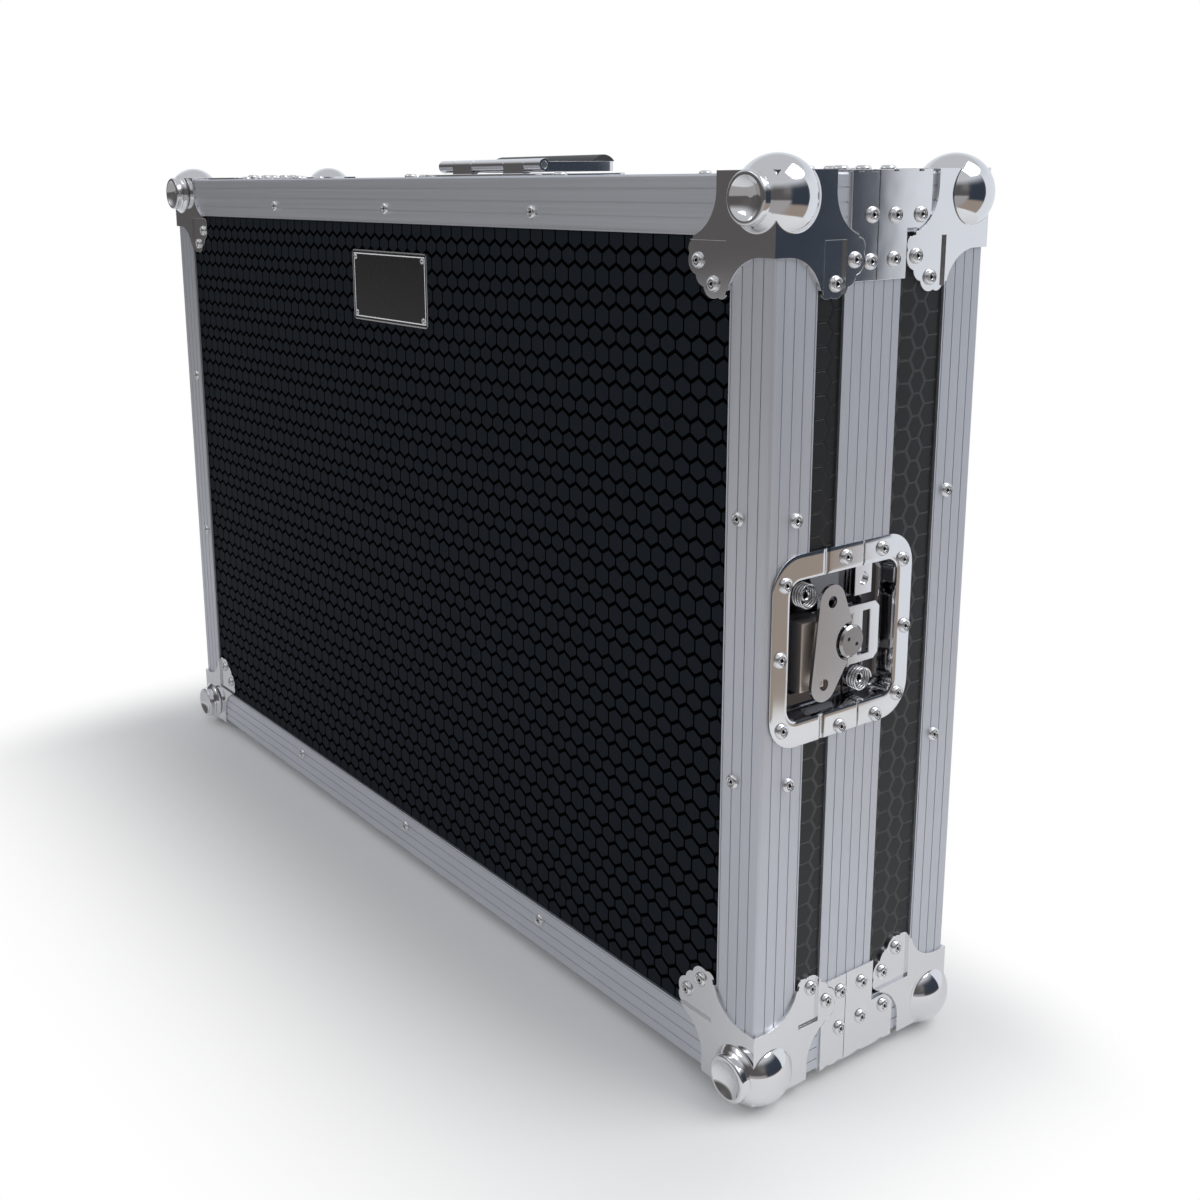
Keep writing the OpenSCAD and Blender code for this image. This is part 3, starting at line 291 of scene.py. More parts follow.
def settle(piece: Piece, body: str, finish: Material, stands_for: tuple[str, ...] = ()) -> None:
    """Gives a piece its body, finish and the CAD nodes that it stands for.

    Args:
        piece: the finished object.
        body: the body that it rides on.
        finish: its material.
        stands_for: names of the CAD nodes that it replaces.
    """
    piece.data.materials.clear()
    piece.data.materials.append(finish)
    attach(piece, body)
    if stands_for:
        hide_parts(*stands_for)
    LOG.info("piece %s on %s: %d faces", piece.name, body, len(piece.data.polygons))


def dress(frame: dict, node: str, finish: Material) -> None:
    """Gives a CAD node that keeps its own shape its finish."""
    frame["nodes"][node].material_slots[0].material = finish
    LOG.info("finish %s on %s", finish.name, node)


def solid_triangles(node: Piece) -> np.ndarray:
    """Triangles of a CAD node as an array (n, 3, 3), in mm from the lid's front and the case's underside.

    Args:
        node: the CAD node.

    Returns:
        The corners of each triangle.
    """
    mesh = node.data
    mesh.calc_loop_triangles()
    points = np.zeros(len(mesh.vertices) * 3, np.float32)
    mesh.vertices.foreach_get("co", points)
    index = np.zeros(len(mesh.loop_triangles) * 3, np.int32)
    mesh.loop_triangles.foreach_get("vertices", index)
    row = points.reshape(-1, 3).astype(float) / MM - np.array([0.0, -CASE.depth / 2, CASE.foot])
    return row[index].reshape(-1, 3, 3)


def eased_copy(triangles: np.ndarray, name: str, width: float, segments: int = 2) -> Piece:
    """A merged copy of a solid's triangles with its sharp edges eased by a bevel.

    Args:
        triangles: array (n, 3, 3) in mm.
        name: the new piece's name.
        width: width of the eased edges in mm.
        segments: steps across an eased edge.

    Returns:
        The new object with a live Bevel modifier.
    """
    flat_under, smooth_under, eased_over = 0.4, 30, 40
    flat = Surface(triangles.reshape(-1, 3), [np.arange(len(triangles) * 3).reshape(-1, 3)])
    piece = to_object(flat, name)
    with edited(piece.data) as bm:
        bmesh.ops.remove_doubles(bm, verts=bm.verts, dist=2 * MERGE)
        bmesh.ops.dissolve_limit(bm, angle_limit=math.radians(flat_under), verts=bm.verts, edges=bm.edges)
    shade(piece.data, smooth_under)
    ease = piece.modifiers.new("ease", "BEVEL")
    ease.width = width * MM
    ease.segments = segments
    ease.limit_method = "ANGLE"
    ease.angle_limit = math.radians(eased_over)
    ease.use_clamp_overlap = True
    ease.harden_normals = True
    return piece


def eased_node(frame: dict, node: str, body: str, width: float, finish: Material,
               segments: int = 2) -> None:
    """Puts an eased copy in place of a whole CAD node.

    Args:
        node: the CAD node's name.
        body: the body that it rides on.
        width: width of the eased edges in mm.
        finish: its material.
        segments: steps across an eased edge.
    """
    piece = eased_copy(solid_triangles(frame["nodes"][node]), node + "_eased", width, segments)
    settle(piece, body, finish, (node,))


class Tree:
    """A tree of shader nodes, with short calls for the ones used here."""

    def __init__(self, tree: bpy.types.NodeTree) -> None:
        """Empties a tree.

        Args:
            tree: the nodes of a material or of the world.
        """
        self.tree = tree
        tree.nodes.clear()

    def put(self, socket: Socket, value: object) -> None:
        """Links a socket to another, or sets its number, vector or colour.

        Args:
            socket: the input.
            value: another node's output, or the value.
        """
        if isinstance(value, Socket):
            self.tree.links.new(value, socket)
        else:
            socket.default_value = value

    def node(self, kind: str, *values: object, **settings: object) -> bpy.types.Node:
        """A new node.

        Args:
            kind: the node's type without its prefix.
            values: its first inputs, in order.
            settings: its properties.

        Returns:
            The node.
        """
        node = self.tree.nodes.new("ShaderNode" + kind)
        for name, value in settings.items():
            setattr(node, name, value)
        for socket, value in zip(node.inputs, values):
            self.put(socket, value)
        return node

    def math(self, operation: str, *values: object) -> Socket:
        """A Math node's result."""
        return self.node("Math", *values, operation=operation).outputs[0]


class Graph(Tree):
    """A material's nodes round one surface shader."""

    def __init__(self, name: str) -> None:
        """Starts a material.

        Args:
            name: the material's name.
        """
        self.material = bpy.data.materials.new(name)
        self.material.use_nodes = True
        super().__init__(self.material.node_tree)
        self.shader = self.node("BsdfPrincipled")
        self.output = self.node("OutputMaterial", self.shader.outputs[0])
        self.place = self.node("TexCoord").outputs["Object"]

    def surface(self, **values: object) -> None:
        """Sets inputs of the surface shader; underscores in the names stand for spaces."""
        for name, value in values.items():
            self.put(self.shader.inputs[name.replace("_", " ")], value)

    def vector(self, operation: str, *values: object) -> Socket:
        """A Vector Math node's result, its number where the operation gives one."""
        outputs = self.node("VectorMath", *values, operation=operation).outputs
        return outputs["Value" if operation == "LENGTH" else "Vector"]

    def parts(self, vector: Socket) -> tuple[Socket, ...]:
        """The three parts of a vector."""
        return tuple(self.node("SeparateXYZ", vector).outputs)

    def combine(self, x: object, y: object, z: object = 0.0) -> Socket:
        """A vector from three parts."""
        return self.node("CombineXYZ", x, y, z).outputs[0]

    def step(self, value: object, low: float, high: float, start: float = 0.0, end: float = 1.0) -> Socket:
        """A smooth step from a start to an end while a value goes from a low to a high limit."""
        return self.node("MapRange", value, low, high, start, end, interpolation_type="SMOOTHSTEP").outputs[0]

    def blend(self, share: object, first: object, second: object) -> Socket:
        """A mix of two colours.

        Args:
            share: share of the second colour.
            first: the first colour.
            second: the second colour.

        Returns:
            The mixed colour.
        """
        node = self.node("Mix", share, data_type="RGBA")
        self.put(node.inputs[6], first)
        self.put(node.inputs[7], second)
        return node.outputs[2]

    def noise(self, scale: float | Triple, detail: float = 3.0, rough: float = 0.55) -> Socket:
        """Noise between 0 and 1 on object coordinates.

        Args:
            scale: features per metre, the same or one number along each axis.
            detail: octaves.
            rough: strength of the finer octaves.

        Returns:
            The noise's value.
        """
        across = scale if isinstance(scale, tuple) else (scale,) * 3
        node = self.node("TexNoise")
        for name, value in (("Scale", 1.0), ("Detail", detail), ("Roughness", rough),
                            ("Vector", self.vector("MULTIPLY", self.place, across))):
            self.put(node.inputs[name], value)
        return node.outputs[0]

    def bump(self, height: object, depth: float, strength: float = 1.0) -> None:
        """Adds a bump of a height field, with its depth in mm, to the surface.

        Args:
            height: the height field.
            depth: its depth in mm.
            strength: the node's strength.
        """
        node = self.node("Bump")
        for name, value in (("Strength", strength), ("Distance", depth * MM), ("Height", height)):
            self.put(node.inputs[name], value)
        earlier = self.shader.inputs["Normal"]
        if earlier.is_linked:
            self.put(node.inputs["Normal"], earlier.links[0].from_socket)
        self.put(earlier, node.outputs[0])

    def marked(self) -> Socket:
        """The mark stored on the mesh: the share of painted shade."""
        return self.node("Attribute", attribute_name="mark").outputs["Fac"]


def tinted(colour: Colour, share: float) -> Colour:
    """A colour made darker or lighter by a share."""
    return tuple(share * c for c in colour[:3]) + (1,)


class Sheet(Enum):
    """How the laminate's sheet lies: the axis across its cells' flats, then the other axis."""

    FRONT = (0, 2)
    END = (2, 1)
    TOP = (0, 1)


@dataclass(frozen=True)
class Laminate:
    """Near-black laminate embossed with hexagons, with fine ribs in each cell; a sheen is painted on the
    ribs' crests.

    Attributes:
        sheet: how the sheet lies.
        pitch: mm across a cell's flats.
        line_half: half of a line's width, as a share of the pitch.
        rib_pitch: mm from rib to rib.
        relief: height of the cells in mm; rib_relief is that of the ribs.
    """

    sheet: Sheet
    pitch: float = 12.28
    line_half: float = 0.044
    rib_pitch: float = 1.15
    relief: float = 0.18
    rib_relief: float = 0.03
    cell: Colour = (0.0085, 0.0110, 0.0145, 1)
    line: Colour = (0.0008, 0.0008, 0.0010, 1)
    line_shine: float = 0.0
    cell_shine: float = 0.02
    rough: float = 0.3

    def build(self) -> Material:
        """The material: the distance to the nearest cell's edge is a half minus the hexagonal norm.

        Returns:
            The material.
        """
        g = Graph("laminate_" + self.sheet.name.lower())
        axes = g.parts(g.place)
        across, along = (g.math("DIVIDE", axes[i], self.pitch * MM) for i in self.sheet.value)
        spot = g.combine(across, along)
        half = (0.5, ROOT3 / 2, 0.5)
        first = self.wrapped(g, spot, half)
        second = self.wrapped(g, g.vector("SUBTRACT", spot, half), half)
        nearer = g.math("LESS_THAN", g.vector("LENGTH", first), g.vector("LENGTH", second))
        pick = g.node("Mix", nearer, data_type="VECTOR")
        g.put(pick.inputs[4], second)
        g.put(pick.inputs[5], first)
        x, y, _ = g.parts(g.vector("ABSOLUTE", pick.outputs[1]))
        slope = g.math("ADD", g.math("MULTIPLY", x, 0.5), g.math("MULTIPLY", y, ROOT3 / 2))
        edge = g.math("SUBTRACT", 0.5, g.math("MAXIMUM", x, slope))
        cell = g.step(edge, self.line_half * 0.75, self.line_half * 1.25)
        rib = g.math("SINE", g.math("MULTIPLY", axes[2], TURN / (self.rib_pitch * MM)))
        ribs = g.math("MULTIPLY", g.math("MULTIPLY_ADD", rib, 0.5, 0.5), cell)
        mottle = g.noise(90.0, 4.0)
        shade_mottled = g.blend(g.math("MULTIPLY", mottle, 0.5), self.cell, tinted(self.cell, 0.6))
        # painted sheen: each rib's crest is coloured towards 1.7 times the cell's tone
        ribbed_painted_sheen = g.blend(g.math("MULTIPLY", ribs, 0.5), shade_mottled, tinted(self.cell, 1.7))
        flat_rough = g.math("MULTIPLY_ADD", cell, 0.2, self.rough)
        rough = g.math("SUBTRACT", flat_rough, g.math("MULTIPLY", ribs, 0.06))
        g.surface(Base_Color=g.blend(cell, self.line, ribbed_painted_sheen), Roughness=rough,
                  Specular_IOR_Level=g.step(cell, 0.0, 1.0, self.line_shine, self.cell_shine))
        g.bump(cell, self.relief)
        g.bump(ribs, self.rib_relief)
        return g.material

    @staticmethod
    def wrapped(g: Graph, spot: Socket, half: Triple) -> Socket:
        """A place wrapped into one rectangle of the lattice, 1 by the root of 3, from its middle.

        Args:
            g: the material's nodes.
            spot: the place in cells.
            half: half of the rectangle.

        Returns:
            The place from the rectangle's middle.
        """
        size = (1.0, ROOT3, 1.0)
        node = g.node("VectorMath", spot, size, (0.0, 0.0, 0.0), operation="WRAP")
        return g.vector("SUBTRACT", node.outputs[0], half)


@dataclass(frozen=True)
class SatinAluminium:
    """Satin extrusion: faint streaks along its length and a soft mottling.

    Attributes:
        name: the end of the material's name.
        streak: streaks per metre along each axis.
        rough: least roughness, to which the streaks add up to spread.
        relief: depth of the streaks in mm.
    """

    name: str
    streak: Triple
    colour: Colour = (0.70, 0.72, 0.77, 1)
    dark_share: float = 0.82
    rough: float = 0.4
    spread: float = 0.16
    relief: float = 0.02

    def build(self) -> Material:
        """The material: stretched noise drives the roughness, the tone and a small bump.

        Returns:
            The material.
        """
        g = Graph("aluminium_" + self.name)
        streaks = g.noise(self.streak, 4.0, 0.6)
        mottle = g.noise(12.0, 2.0)
        tone = g.math("MULTIPLY_ADD", streaks, 0.5, g.math("MULTIPLY", mottle, 0.35))
        g.surface(Base_Color=g.blend(tone, tinted(self.colour, self.dark_share), self.colour), Metallic=1.0,
                  Roughness=g.math("MULTIPLY_ADD", streaks, self.spread, self.rough))
        g.bump(streaks, self.relief, 0.5)
        return g.material


@dataclass(frozen=True)
class BrightPlate:
    """Bright plated steel with a slow waviness, faint smudges and painted shade in its recesses.

    Attributes:
        name: the material's name.
        colour: its tone where the mesh has no mark; deep is painted shade, laid where the mark is full, in a
            recess.
        rough: least roughness, to which the smudges add up to spread.
        wave: depth of the waviness in mm.
        smudge: the smudges' scale, octaves and finer octaves' strength.
    """

    name: str = "chrome"
    colour: Colour = (0.80, 0.80, 0.815, 1)
    rough: float = 0.05
    wave: float = 0.05
    deep: Colour = (0.16, 0.16, 0.175, 1)
    spread: float = 0.06
    smudge: Triple = (40.0, 5.0, 0.6)

    def build(self) -> Material:
        """The material: noise bends the reflections and dulls them in places; the mark paints shade into a
        recess.

        Returns:
            The material.
        """
        g = Graph(self.name)
        # the base colour blends to the deep colour by the mark: painted shade in recesses, hollows and
        # creases
        g.surface(Base_Color=g.blend(g.marked(), self.colour, self.deep), Metallic=1.0,
                  Roughness=g.math("MULTIPLY_ADD", g.noise(*self.smudge), self.spread, self.rough))
        if self.wave:
            g.bump(g.noise(55.0, 1.0), self.wave, 0.6)
        return g.material


@dataclass(frozen=True)
class OpenCellFoam:
    """Dark open-cell foam: small pores in bump, with painted shade in them."""

    colour: Colour = (0.02, 0.02, 0.022, 1)
    light_share: float = 2.2
    pores_per_metre: float = 900.0
    pore_depth: float = 0.5

    def build(self) -> Material:
        """The material: cell noise makes pores a millimetre across.

        Returns:
            The material.
        """
        g = Graph("open_cell_foam")
        pores = g.node("TexVoronoi")
        g.put(pores.inputs["Scale"], 1.0)
        g.put(pores.inputs["Vector"], g.vector("MULTIPLY", g.place, (self.pores_per_metre,) * 3))
        depth = pores.outputs["Distance"]
        # painted shade: each pore is coloured darker as it sinks, lighter on its rim
        tone = g.blend(depth, self.colour, tinted(self.colour, self.light_share))
        g.surface(Base_Color=tone, Roughness=0.95, Specular_IOR_Level=0.15, Sheen_Weight=0.25)
        g.bump(depth, self.pore_depth, 0.8)
        return g.material


@dataclass(frozen=True)
class BarePlate:
    """Black lacquered plate with a thin pale line inside a bright edge; it carries nothing."""

    half_width: float = 50.0
    half_height: float = 24.5
    from_top: float = 49.0
    edge: float = 0.9
    line_inset: float = 2.6
    line_half: float = 0.35
    lacquer: Colour = (0.004, 0.004, 0.005, 1)
    pale: Colour = (0.75, 0.75, 0.76, 1)
    bright: Colour = (0.75, 0.75, 0.77, 1)
    specks_per_metre: float = 400.0
    rough: float = 0.22

    def build(self) -> Material:
        """The material: the distance inwards from the plate's rim picks the edge and the line.

        Returns:
            The material.
        """
        g = Graph("bare_plate")
        x, _, z = g.parts(g.place)
        middle = CASE.height - self.from_top - self.half_height + CASE.foot
        from_side = g.math("SUBTRACT", self.half_width * MM, g.math("ABSOLUTE", x))
        rise = g.math("ABSOLUTE", g.math("SUBTRACT", z, middle * MM))
        inset = g.math("MINIMUM", from_side, g.math("SUBTRACT", self.half_height * MM, rise))
        edge = g.math("LESS_THAN", inset, self.edge * MM)
        line = g.math("COMPARE", inset, self.line_inset * MM, self.line_half * MM)
        speck = g.noise(self.specks_per_metre, 2.0)
        base = g.blend(line, self.lacquer, self.pale)
        g.surface(Base_Color=g.blend(edge, base, self.bright), Metallic=edge,
                  Roughness=g.math("MULTIPLY_ADD", speck, 0.1, self.rough))
        return g.material


@dataclass(frozen=True)
class MouldedGrip:
    """Black moulded rubber with a fine grain."""

    colour: Colour = (0.016, 0.016, 0.018, 1)
    light: Colour = (0.03, 0.03, 0.032, 1)
    grains_per_metre: float = 1400.0
    grain_depth: float = 0.05
    rough: float = 0.38

    def build(self) -> Material:
        """The material: fine noise gives grain and a soft sheen.

        Returns:
            The material.
        """
        g = Graph("moulded_grip")
        grain = g.noise(self.grains_per_metre, 2.0)
        g.surface(Base_Color=g.blend(grain, self.colour, self.light),
                  Roughness=g.math("MULTIPLY_ADD", grain, 0.2, self.rough))
        g.bump(grain, self.grain_depth, 0.5)
        return g.material


def made(build: Callable[[], Material]) -> Material:
    """A field whose material is built when the finishes are."""
    return field(default_factory=build)


@dataclass
class Finishes:
    """All finishes of the case, built once."""

    front: Material = made(Laminate(Sheet.FRONT).build)
    # the ends get a darker copy of the front's laminate: its darker cells are painted shade
    ends: Material = made(Laminate(Sheet.END, 12.1, cell=(0.0022, 0.0028, 0.0038, 1), line_shine=0.7,
                                   cell_shine=0.4, rough=0.17).build)
    tops: Material = made(Laminate(Sheet.TOP).build)
    angle_x: Material = made(SatinAluminium("along_x", (4.0, 900.0, 900.0)).build)
    angle_z: Material = made(SatinAluminium("along_z", (900.0, 900.0, 4.0)).build)
    angle_y: Material = made(SatinAluminium("along_y", (900.0, 4.0, 900.0)).build)
    frame: Material = made(SatinAluminium("closure", (30.0, 700.0, 30.0)).build)
    # chrome: the mark paints shade of 0.16 grey into dish floors, the crease and hollow posts
    chrome: Material = made(BrightPlate().build)
    # rivets: the mark paints shade of 0.05 grey into each head's hollow and groove
    rivet: Material = made(BrightPlate("rivet_steel", (0.78, 0.78, 0.79, 1), 0.16, 0.0,
                                       (0.05, 0.05, 0.055, 1), 0.12, (300.0, 3.0, 0.55)).build)
    steel: Material = made(BrightPlate("turned_steel", (0.7, 0.7, 0.71, 1), 0.14, 0.01).build)
    wing: Material = made(BrightPlate("wing_zinc", (0.6, 0.6, 0.62, 1), 0.2, 0.03).build)
    knob: Material = made(BrightPlate("knob_steel", (0.42, 0.415, 0.42, 1), 0.16, 0.01).build)
    # the stop's warm tan colour is a painted reflection of the brown room, not the steel's own colour
    stop: Material = made(BrightPlate("stop_steel", (0.8, 0.71, 0.63, 1), 0.42, 0.01).build)
    foam: Material = made(OpenCellFoam().build)
    plate: Material = made(BarePlate().build)
    grip: Material = made(MouldedGrip().build)


@dataclass(frozen=True)
class Corner:
    """One corner of the case: which side, half and edge it is on."""

    right: bool
    rear: bool
    top: bool

    @property
    def node(self) -> str:
        """Name of the corner's CAD node."""
        half = "base" if self.rear else "lid"
        return f"{half}_ball_corner_{'top' if self.top else 'bottom'}_{'right' if self.right else 'left'}"

    def outwards(self) -> tuple[np.ndarray, np.ndarray]:
        """The map from distances inwards along X, Y and Z to the case's own axes: matrix and offset.

        Returns:
            Array (3, 3) and array (3,).
        """
        sign = np.array([-1.0 if self.right else 1.0, -1.0 if self.rear else 1.0, -1.0 if self.top else 1.0])
        start = np.array([(CASE.width if self.right else -CASE.width) / 2,
                          CASE.depth if self.rear else 0.0, CASE.height if self.top else 0.0])
        return np.diag(sign), start


@dataclass
class BallCorner:
    """Pressed corner: three plates from the solid with eased edges, and a smooth ball with its fillets.

    Attributes:
        inset: distance of the ball's middle from each face.
        rim: outer radius of the dimple on the lid; hollow and depth are those of its bowl.
        fillet: radius between the ball and the plates.
        lap: width of the ball's skin that runs on under the rim.
        buried: depth inside the case past which faces are left out.
    """

    corner: Corner
    finish: Material
    radius: float = 21.0
    inset: float = 11.5
    plate: float = 1.5
    rim: float = 13.3
    hollow: float = 10.8
    depth: float = 4.0
    fillet: float = 1.2
    lap: float = 1.2
    buried: float = 0.6

    def ball(self) -> Surface:
        """The ball's skin outside the case: centre + R (sin t cos p, -cos t, sin t sin p).

        Returns:
            The skin, with the faces inside the case left out and, on the lid, those under the dimple.
        """
        rows, columns, pole = 60, 112, 1e-4
        start = pole if self.corner.rear else math.asin((self.rim - self.lap) / self.radius)
        t = np.linspace(start, math.pi - pole, rows)[:, None]
        p = np.linspace(0, TURN, columns, endpoint=False)[None]
        unit = np.stack(np.broadcast_arrays(np.sin(t) * np.cos(p), -np.cos(t), np.sin(t) * np.sin(p)), -1)
        points = (self.inset + self.radius * unit).reshape(-1, 3)
        faces = grid_faces(rows, columns, wrap=True)
        return Surface(points, [faces[points[faces].mean(1).min(1) < self.buried]])

    def dimple(self) -> Surface:
        """The raised rim and hollow on the lid's face: a profile turned about the Y axis through the ball.

        Returns:
            The rim and the bowl, with a small raised point in its middle.
        """
        out = self.inset - self.radius
        turn = np.radians(np.linspace(90, 0, 9))
        edge = (self.rim - self.hollow) * 0.62
        bowl = np.linspace(0, 1, 14) * self.hollow
        curve = (self.hollow ** 2 + self.depth ** 2) / (2 * self.depth)
        lip = self.inset - np.sqrt(self.radius ** 2 - self.rim ** 2)
        sink = self.depth - (curve - np.sqrt(curve ** 2 - bowl ** 2))
        skirt = np.array([[0.0, -0.7], [1.0, 0.4]])
        r = np.concatenate([bowl, self.rim - edge + edge * np.cos(turn), self.rim + skirt[:, 0]])
        b = np.concatenate([out + sink, out + edge * (1 - np.sin(turn)), lip + skirt[:, 1]])
        pip_radius, pip_depth = 0.7, 0.35
        pip = np.exp(-((r / pip_radius) ** 2)) * pip_depth * (r < self.hollow)
        turned = turned_profile(np.stack([r, -(b + pip)], 1), sides=72)
        flip = np.array([[1.0, 0, 0], [0, 0, -1.0], [0, 1.0, 0]])
        return turned.mapped(flip, np.array([self.inset, 0.0, self.inset]))

    def fillets(self) -> list[Surface]:
        """Rings that ease the ball into each plate: an arc between ball and plate, carried round the ball.

        Returns:
            One ring per plate, over the part of the circle that lies on the plate.
        """
        rows, columns, end, clear = 9, 64, 0.02, 0.01
        middle = self.inset + self.plate + self.fillet
        ring = math.sqrt((self.radius + self.fillet) ** 2 - middle ** 2)
        turn = np.linspace(-math.pi / 2, -(math.pi - math.atan2(middle, ring)), rows)[:, None]
        limit = math.acos(min(1.0, (self.inset + self.plate) / ring)) + end
        sweep = np.linspace(limit - math.pi / 2, math.pi - limit, columns)[None]
        r = ring + self.fillet * np.cos(turn)
        rise = np.broadcast_to(self.plate + self.fillet + self.fillet * np.sin(turn), (rows, columns))
        u, v, out = self.inset + r * np.cos(sweep), self.inset + r * np.sin(sweep), -rise - clear
        rings = [np.stack(axes, -1).reshape(-1, 3) for axes in ((u, out, v), (u, v, out), (out, u, v))]
        return [self.facing_out(Surface(ring, [grid_faces(rows, columns)])) for ring in rings]

    def facing_out(self, surface: Surface) -> Surface:
        """The surface with its faces looking away from the ball's middle.

        Args:
            surface: a surface on the ball.

        Returns:
            The same surface or its faces turned over.
        """
        tri = surface.points[surface.faces[0]]
        normal = np.cross(tri[:, 1] - tri[:, 0], tri[:, 2] - tri[:, 0])
        away = np.sum(normal * (tri.mean(1) - self.inset), 1).sum()
        return surface if away > 0 else surface.turned()

    def plates(self, node: Piece) -> np.ndarray:
        """The solid's triangles without those of its ball and dimple.

        Args:
            node: the corner's CAD node.

        Returns:
            Array (n, 3, 3) in mm.
        """
        tri = solid_triangles(node)
        matrix, start = self.corner.outwards()
        inward = (tri - start) @ matrix
        middle = inward.mean(1)
        near, above, aside, proud = 0.05, 0.02, 0.1, 0.5
        from_ball = np.abs(np.linalg.norm(inward - self.inset, axis=2) - self.radius).max(1)
        on_ball = (from_ball < near) & (middle.min(1) < -self.plate - above)
        off_axis = np.hypot(inward[..., 0] - self.inset, inward[..., 2] - self.inset).max(1)
        in_dimple = (off_axis < self.rim + aside) & (middle[:, 1] < -self.plate - proud)
        return tri[~(on_ball | (in_dimple & (not self.corner.rear)))]

    def build(self, frame: dict) -> None:
        """Makes the plates and the ball and puts them in place of the CAD node.
        """
        node = self.corner.node
        body = "base" if self.corner.rear else "lid"
        plates = eased_copy(self.plates(frame["nodes"][node]), node + "_plates", 0.45)
        settle(plates, body, self.finish, (node,))
        parts = [self.ball(), *self.fillets()] + ([] if self.corner.rear else [self.dimple()])
        skin = joined(parts).mapped(*self.corner.outwards())
        settle(to_object(skin, node + "_ball", MERGE), body, self.finish)


@dataclass
class Rivets:
    """Blind rivet heads in place of the solid ones: a domed rim, a groove and a hollow, with painted shade in
    the hollow and the groove.
    """

    finish: Material

    def heads(self, node: Piece) -> Surface:
        """A turned head on each separate head of the solid node.

        Args:
            node: the CAD node of one half's rivets.

        Returns:
            All the heads as one surface.
        """
        tri, same_place = solid_triangles(node), 0.01
        keys = np.round(tri.reshape(-1, 3) / same_place).astype(np.int64)
        label = np.unique(keys, axis=0, return_inverse=True)[1].reshape(-1, 3)
        group, earlier = np.arange(label.max() + 1), None
        while not np.array_equal(group, earlier):
            earlier = group.copy()
            np.minimum.at(group, label.ravel(), np.repeat(earlier[label].min(1), 3))
            group = group[group]
        owner = group[label[:, 0]]
        centre = np.array([0.0, CASE.depth / 2, CASE.height / 2])
        parts = []
        for name in np.unique(owner):
            own = tri[owner == name].reshape(-1, 3)
            low, high = own.min(0), own.max(0)
            axis = int(np.argmin(high - low))
            seat = (low + high) / 2
            out = 1.0 if seat[axis] > centre[axis] else -1.0
            seat[axis] = low[axis] if out > 0 else high[axis]
            parts.append(self.head((high - low).max() / 2).mapped(self.stand(axis, out), seat))
        return joined(parts)

    @staticmethod
    def stand(axis: int, out: float) -> np.ndarray:
        """The turn that stands a head drawn along the third axis on a face that looks along an axis.

        Args:
            axis: the axis that the face looks along.
            out: 1 or -1 along it.

        Returns:
            Array (3, 3).
        """
        turns = {0: [[0, 0, out], [0, 1, 0], [-out, 0, 0]], 1: [[1, 0, 0], [0, 0, out], [0, -out, 0]],
                 2: [[1, 0, 0], [0, out, 0], [0, 0, out]]}
        return np.array(turns[axis], float)

    @staticmethod
    def head(radius: float) -> Surface:
        """One head: a table of radius and height as shares of its radius, and of the mark, the share of
        painted shade.

        Args:
            radius: its radius.

        Returns:
            The head on the plane of the first two axes.
        """
        # third column: painted shade, full in the hollow and almost half in the groove
        table = np.array([[0.0, 0.14, 1], [0.19, 0.14, 1], [0.23, 0.36, 0.7], [0.3, 0.42, 0],
                          [0.37, 0.4, 0], [0.43, 0.3, 0.45], [0.5, 0.3, 0.45], [0.57, 0.46, 0],
                          [0.68, 0.5, 0], [0.82, 0.43, 0], [0.94, 0.28, 0], [1.0, 0.1, 0], [1.0, -0.02, 0]])
        return turned_profile(table[:, :2] * radius, sides=18, mark=table[:, 2])

    def build(self, frame: dict) -> None:
        """Makes the heads of both halves and puts them in place of the CAD nodes.
        """
        for body in ("lid", "base"):
            node = body + "_rivets"
            heads = to_object(self.heads(frame["nodes"][node]), node + "_heads", MERGE)
            settle(heads, body, self.finish, (node,))


